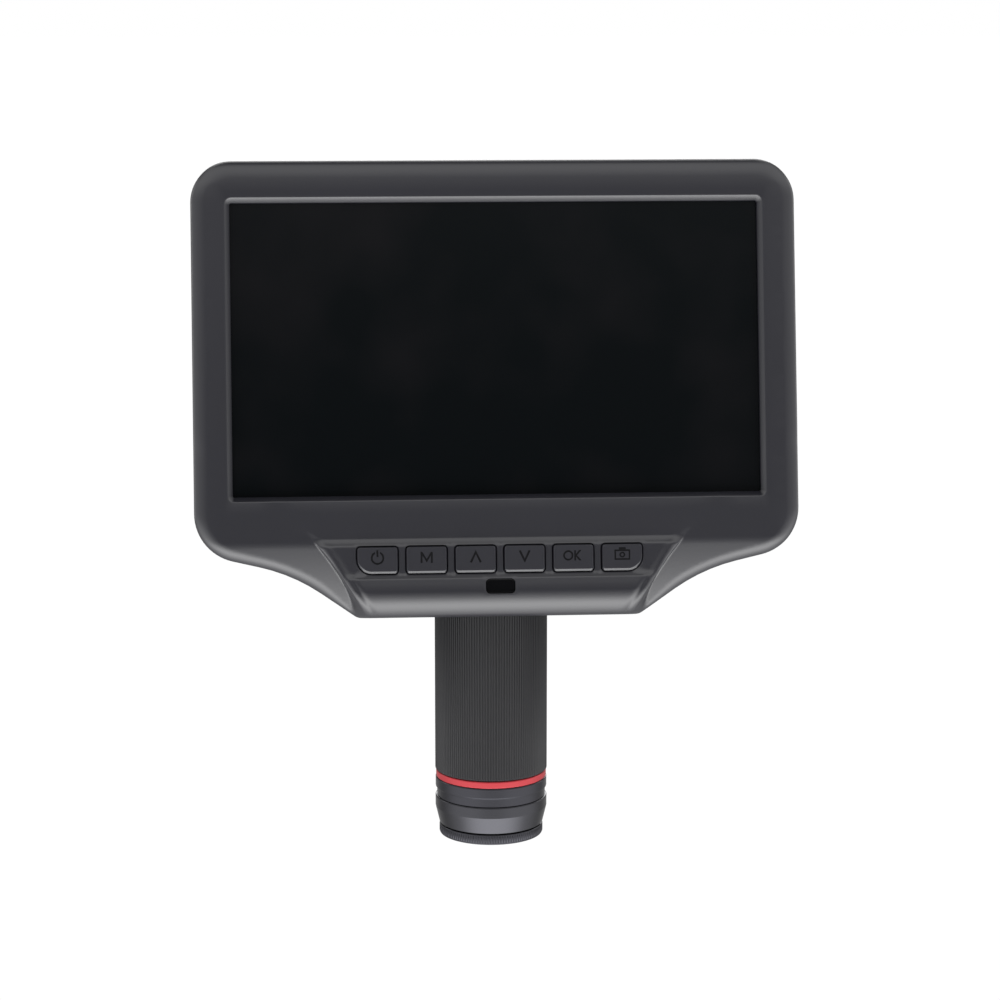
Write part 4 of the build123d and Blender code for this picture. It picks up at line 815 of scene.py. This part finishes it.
for node, width in (("rear_cover", 0.35), ("head_casing", 0.3), ("hinge_bracket", 0.4), ("hinge_nut", 0.2),
                    ("video_socket", 0.12), ("usb_socket", 0.12)):
    bevel = nodes[node].modifiers.new("softEdges", "BEVEL")
    bevel.width = width * mm
    bevel.segments = 2
    bevel.limit_method = "ANGLE"
    bevel.angle_limit = math.radians(40)
    bevel.use_clamp_overlap = True
print("edges softened")

# light, floor and camera
studio = {  # metres, and the dome's glow from each side
    "floorHeight": -0.14, "floorSize": 14.0, "shown": 1.02, "around": 0.03, "sideGlow": 0.72,
    "sideFront": 0.2, "highGlow": 0.96, "tableGlow": 0.72, "lowGlow": 2.85, "behind": 0.25,
}
zones = {  # where each glow changes, along the direction's Y (to the back) or Z (up)
    "sideRise": (-1.0, 0.1), "sideFront": (-1.0, -0.8), "sideTop": (0.45, 0.8), "highStart": (0.25, 0.8),
    "highEnd": (0.87, 0.99), "lowEnd": (-0.72, -0.2), "lowFront": (-0.75, -0.02), "table": (-0.15, 0.02),
    "behind": (-0.3, 0.6),
}
lamps = (  # name, place, aim, size in metres, watts
    ("overhead", (0.0, 0.65, 1.05), (0, 0, 0.05), (1.2, 0.9), 4.5),
    ("leftSide", (-1.1, 0.55, 0.25), (0, 0, 0.03), (0.5, 0.9), 1.4),
    ("rightSide", (1.1, 0.55, 0.25), (0, 0, 0.03), (0.5, 0.9), 1.4),
    ("frontFill", (0.0, -1.5, 0.85), (0, 0, 0.03), (1.2, 0.8), 4.5),
    ("rear", (0.2, 1.3, 0.5), (0, 0, 0.05), (0.9, 0.9), 8.0),
)


def ramp(tree, source, zone, start, end, interpolation="SMOOTHSTEP"):
    # value that goes from start to end while the source goes through the zone
    low, high = zones[zone]
    return addNode(tree, "ShaderNodeMapRange",
                   {"interpolation_type": interpolation, "From Min": low, "From Max": high, "To Min": start,
                    "To Max": end}, {"Value": source}).outputs["Result"]


def combined(tree, operation, one, other):  # two values added or multiplied
    return addNode(tree, "ShaderNodeMath", {"operation": operation}, {0: one, 1: other}).outputs[0]


def dome():  # bright from low in front, pale at both sides and high in front, dim straight ahead and above
    world = bpy.data.worlds.new("studio")
    world.use_nodes = True
    tree = world.node_tree
    direction = addNode(tree, "ShaderNodeTexCoord").outputs["Generated"]
    toward = addNode(tree, "ShaderNodeSeparateXYZ", {}, {0: direction}).outputs
    rise = ramp(tree, toward["Y"], "sideRise", studio["sideFront"], studio["sideGlow"], "LINEAR")
    side = combined(tree, "MULTIPLY", rise, ramp(tree, toward["Y"], "sideFront", 0.0, 1.0))
    side = combined(tree, "MULTIPLY", side, ramp(tree, toward["Z"], "sideTop", 1.0, 0.0))
    high = combined(tree, "MULTIPLY", ramp(tree, toward["Z"], "highStart", 0.0, studio["highGlow"]),
                    ramp(tree, toward["Z"], "highEnd", 1.0, 0.0))
    low = combined(tree, "MULTIPLY", ramp(tree, toward["Z"], "lowEnd", studio["lowGlow"], 0.0),
                   ramp(tree, toward["Y"], "lowFront", 1.0, 0.0))
    table = ramp(tree, toward["Z"], "table", studio["tableGlow"], studio["around"])
    table = combined(tree, "ADD", low, table)
    behind = ramp(tree, toward["Y"], "behind", 1.0, studio["behind"])
    glow = combined(tree, "MULTIPLY", combined(tree, "ADD", combined(tree, "ADD", side, high), table), behind)
    seen = addNode(tree, "ShaderNodeLightPath").outputs["Is Camera Ray"]
    strength = addNode(tree, "ShaderNodeMix", {"data_type": "FLOAT", 3: 1.0}, {0: seen, 2: glow}).outputs[0]
    back = tree.nodes["Background"]
    back.inputs["Color"].default_value = (1, 1, 1, 1)
    tree.links.new(strength, back.inputs["Strength"])
    return world


def buildStudio():  # a white floor, the dome and five soft lamps
    size, height = studio["floorSize"], studio["floorHeight"]
    mesh = bpy.data.meshes.new("floor")
    corners = [(x * size, y * size, height) for x, y in ((-1, -1), (1, -1), (1, 1), (-1, 1))]
    mesh.from_pydata(corners, [], [(0, 1, 2, 3)])
    floor = bpy.data.objects.new("floor", mesh)
    bpy.context.scene.collection.objects.link(floor)
    # even white, seen by the camera alone, so the dome's light reaches the part from below as well
    look = {"colour": "000000", "roughness": 0.5, "gloss": 0.0}
    pale, _, shader = startMaterial("Acrylic light table white", look)
    shader.inputs["Emission Color"].default_value = (1, 1, 1, 1)
    shader.inputs["Emission Strength"].default_value = studio["shown"]
    mesh.materials.append(pale)
    floor.visible_glossy = floor.visible_diffuse = floor.visible_shadow = False
    bpy.context.scene.world = dome()
    for name, place, target, size, power in lamps:
        light = bpy.data.lights.new(name, "AREA")
        light.shape = "RECTANGLE"
        light.size, light.size_y = size
        light.energy = power
        lamp = bpy.data.objects.new(name, light)
        bpy.context.scene.collection.objects.link(lamp)
        lamp.location = place
        lamp.rotation_euler = (Vector(target) - Vector(place)).to_track_quat("-Z", "Y").to_euler()
        lamp.visible_glossy = name != "frontFill"  # the fill brightens surfaces without a highlight


camera = {"place": (-0.057403, -0.850998, 0.182831), "azimuth": 4.046, "elevation": 10.438, "lens": 102.824,
          "sensor": 36.0, "clip": (0.01, 60.0)}


def buildCamera():
    data = bpy.data.cameras.new("viewpoint")
    data.lens = camera["lens"]
    data.sensor_width = camera["sensor"]
    data.clip_start, data.clip_end = camera["clip"]
    obj = bpy.data.objects.new("viewpoint", data)
    bpy.context.scene.collection.objects.link(obj)
    obj.location = camera["place"]
    obj.rotation_euler = (math.radians(90 - camera["elevation"]), 0, math.radians(-camera["azimuth"]))
    bpy.context.scene.camera = obj


buildStudio()
buildCamera()
bpy.context.scene.view_settings.view_transform = "Standard"
print("studio ready")
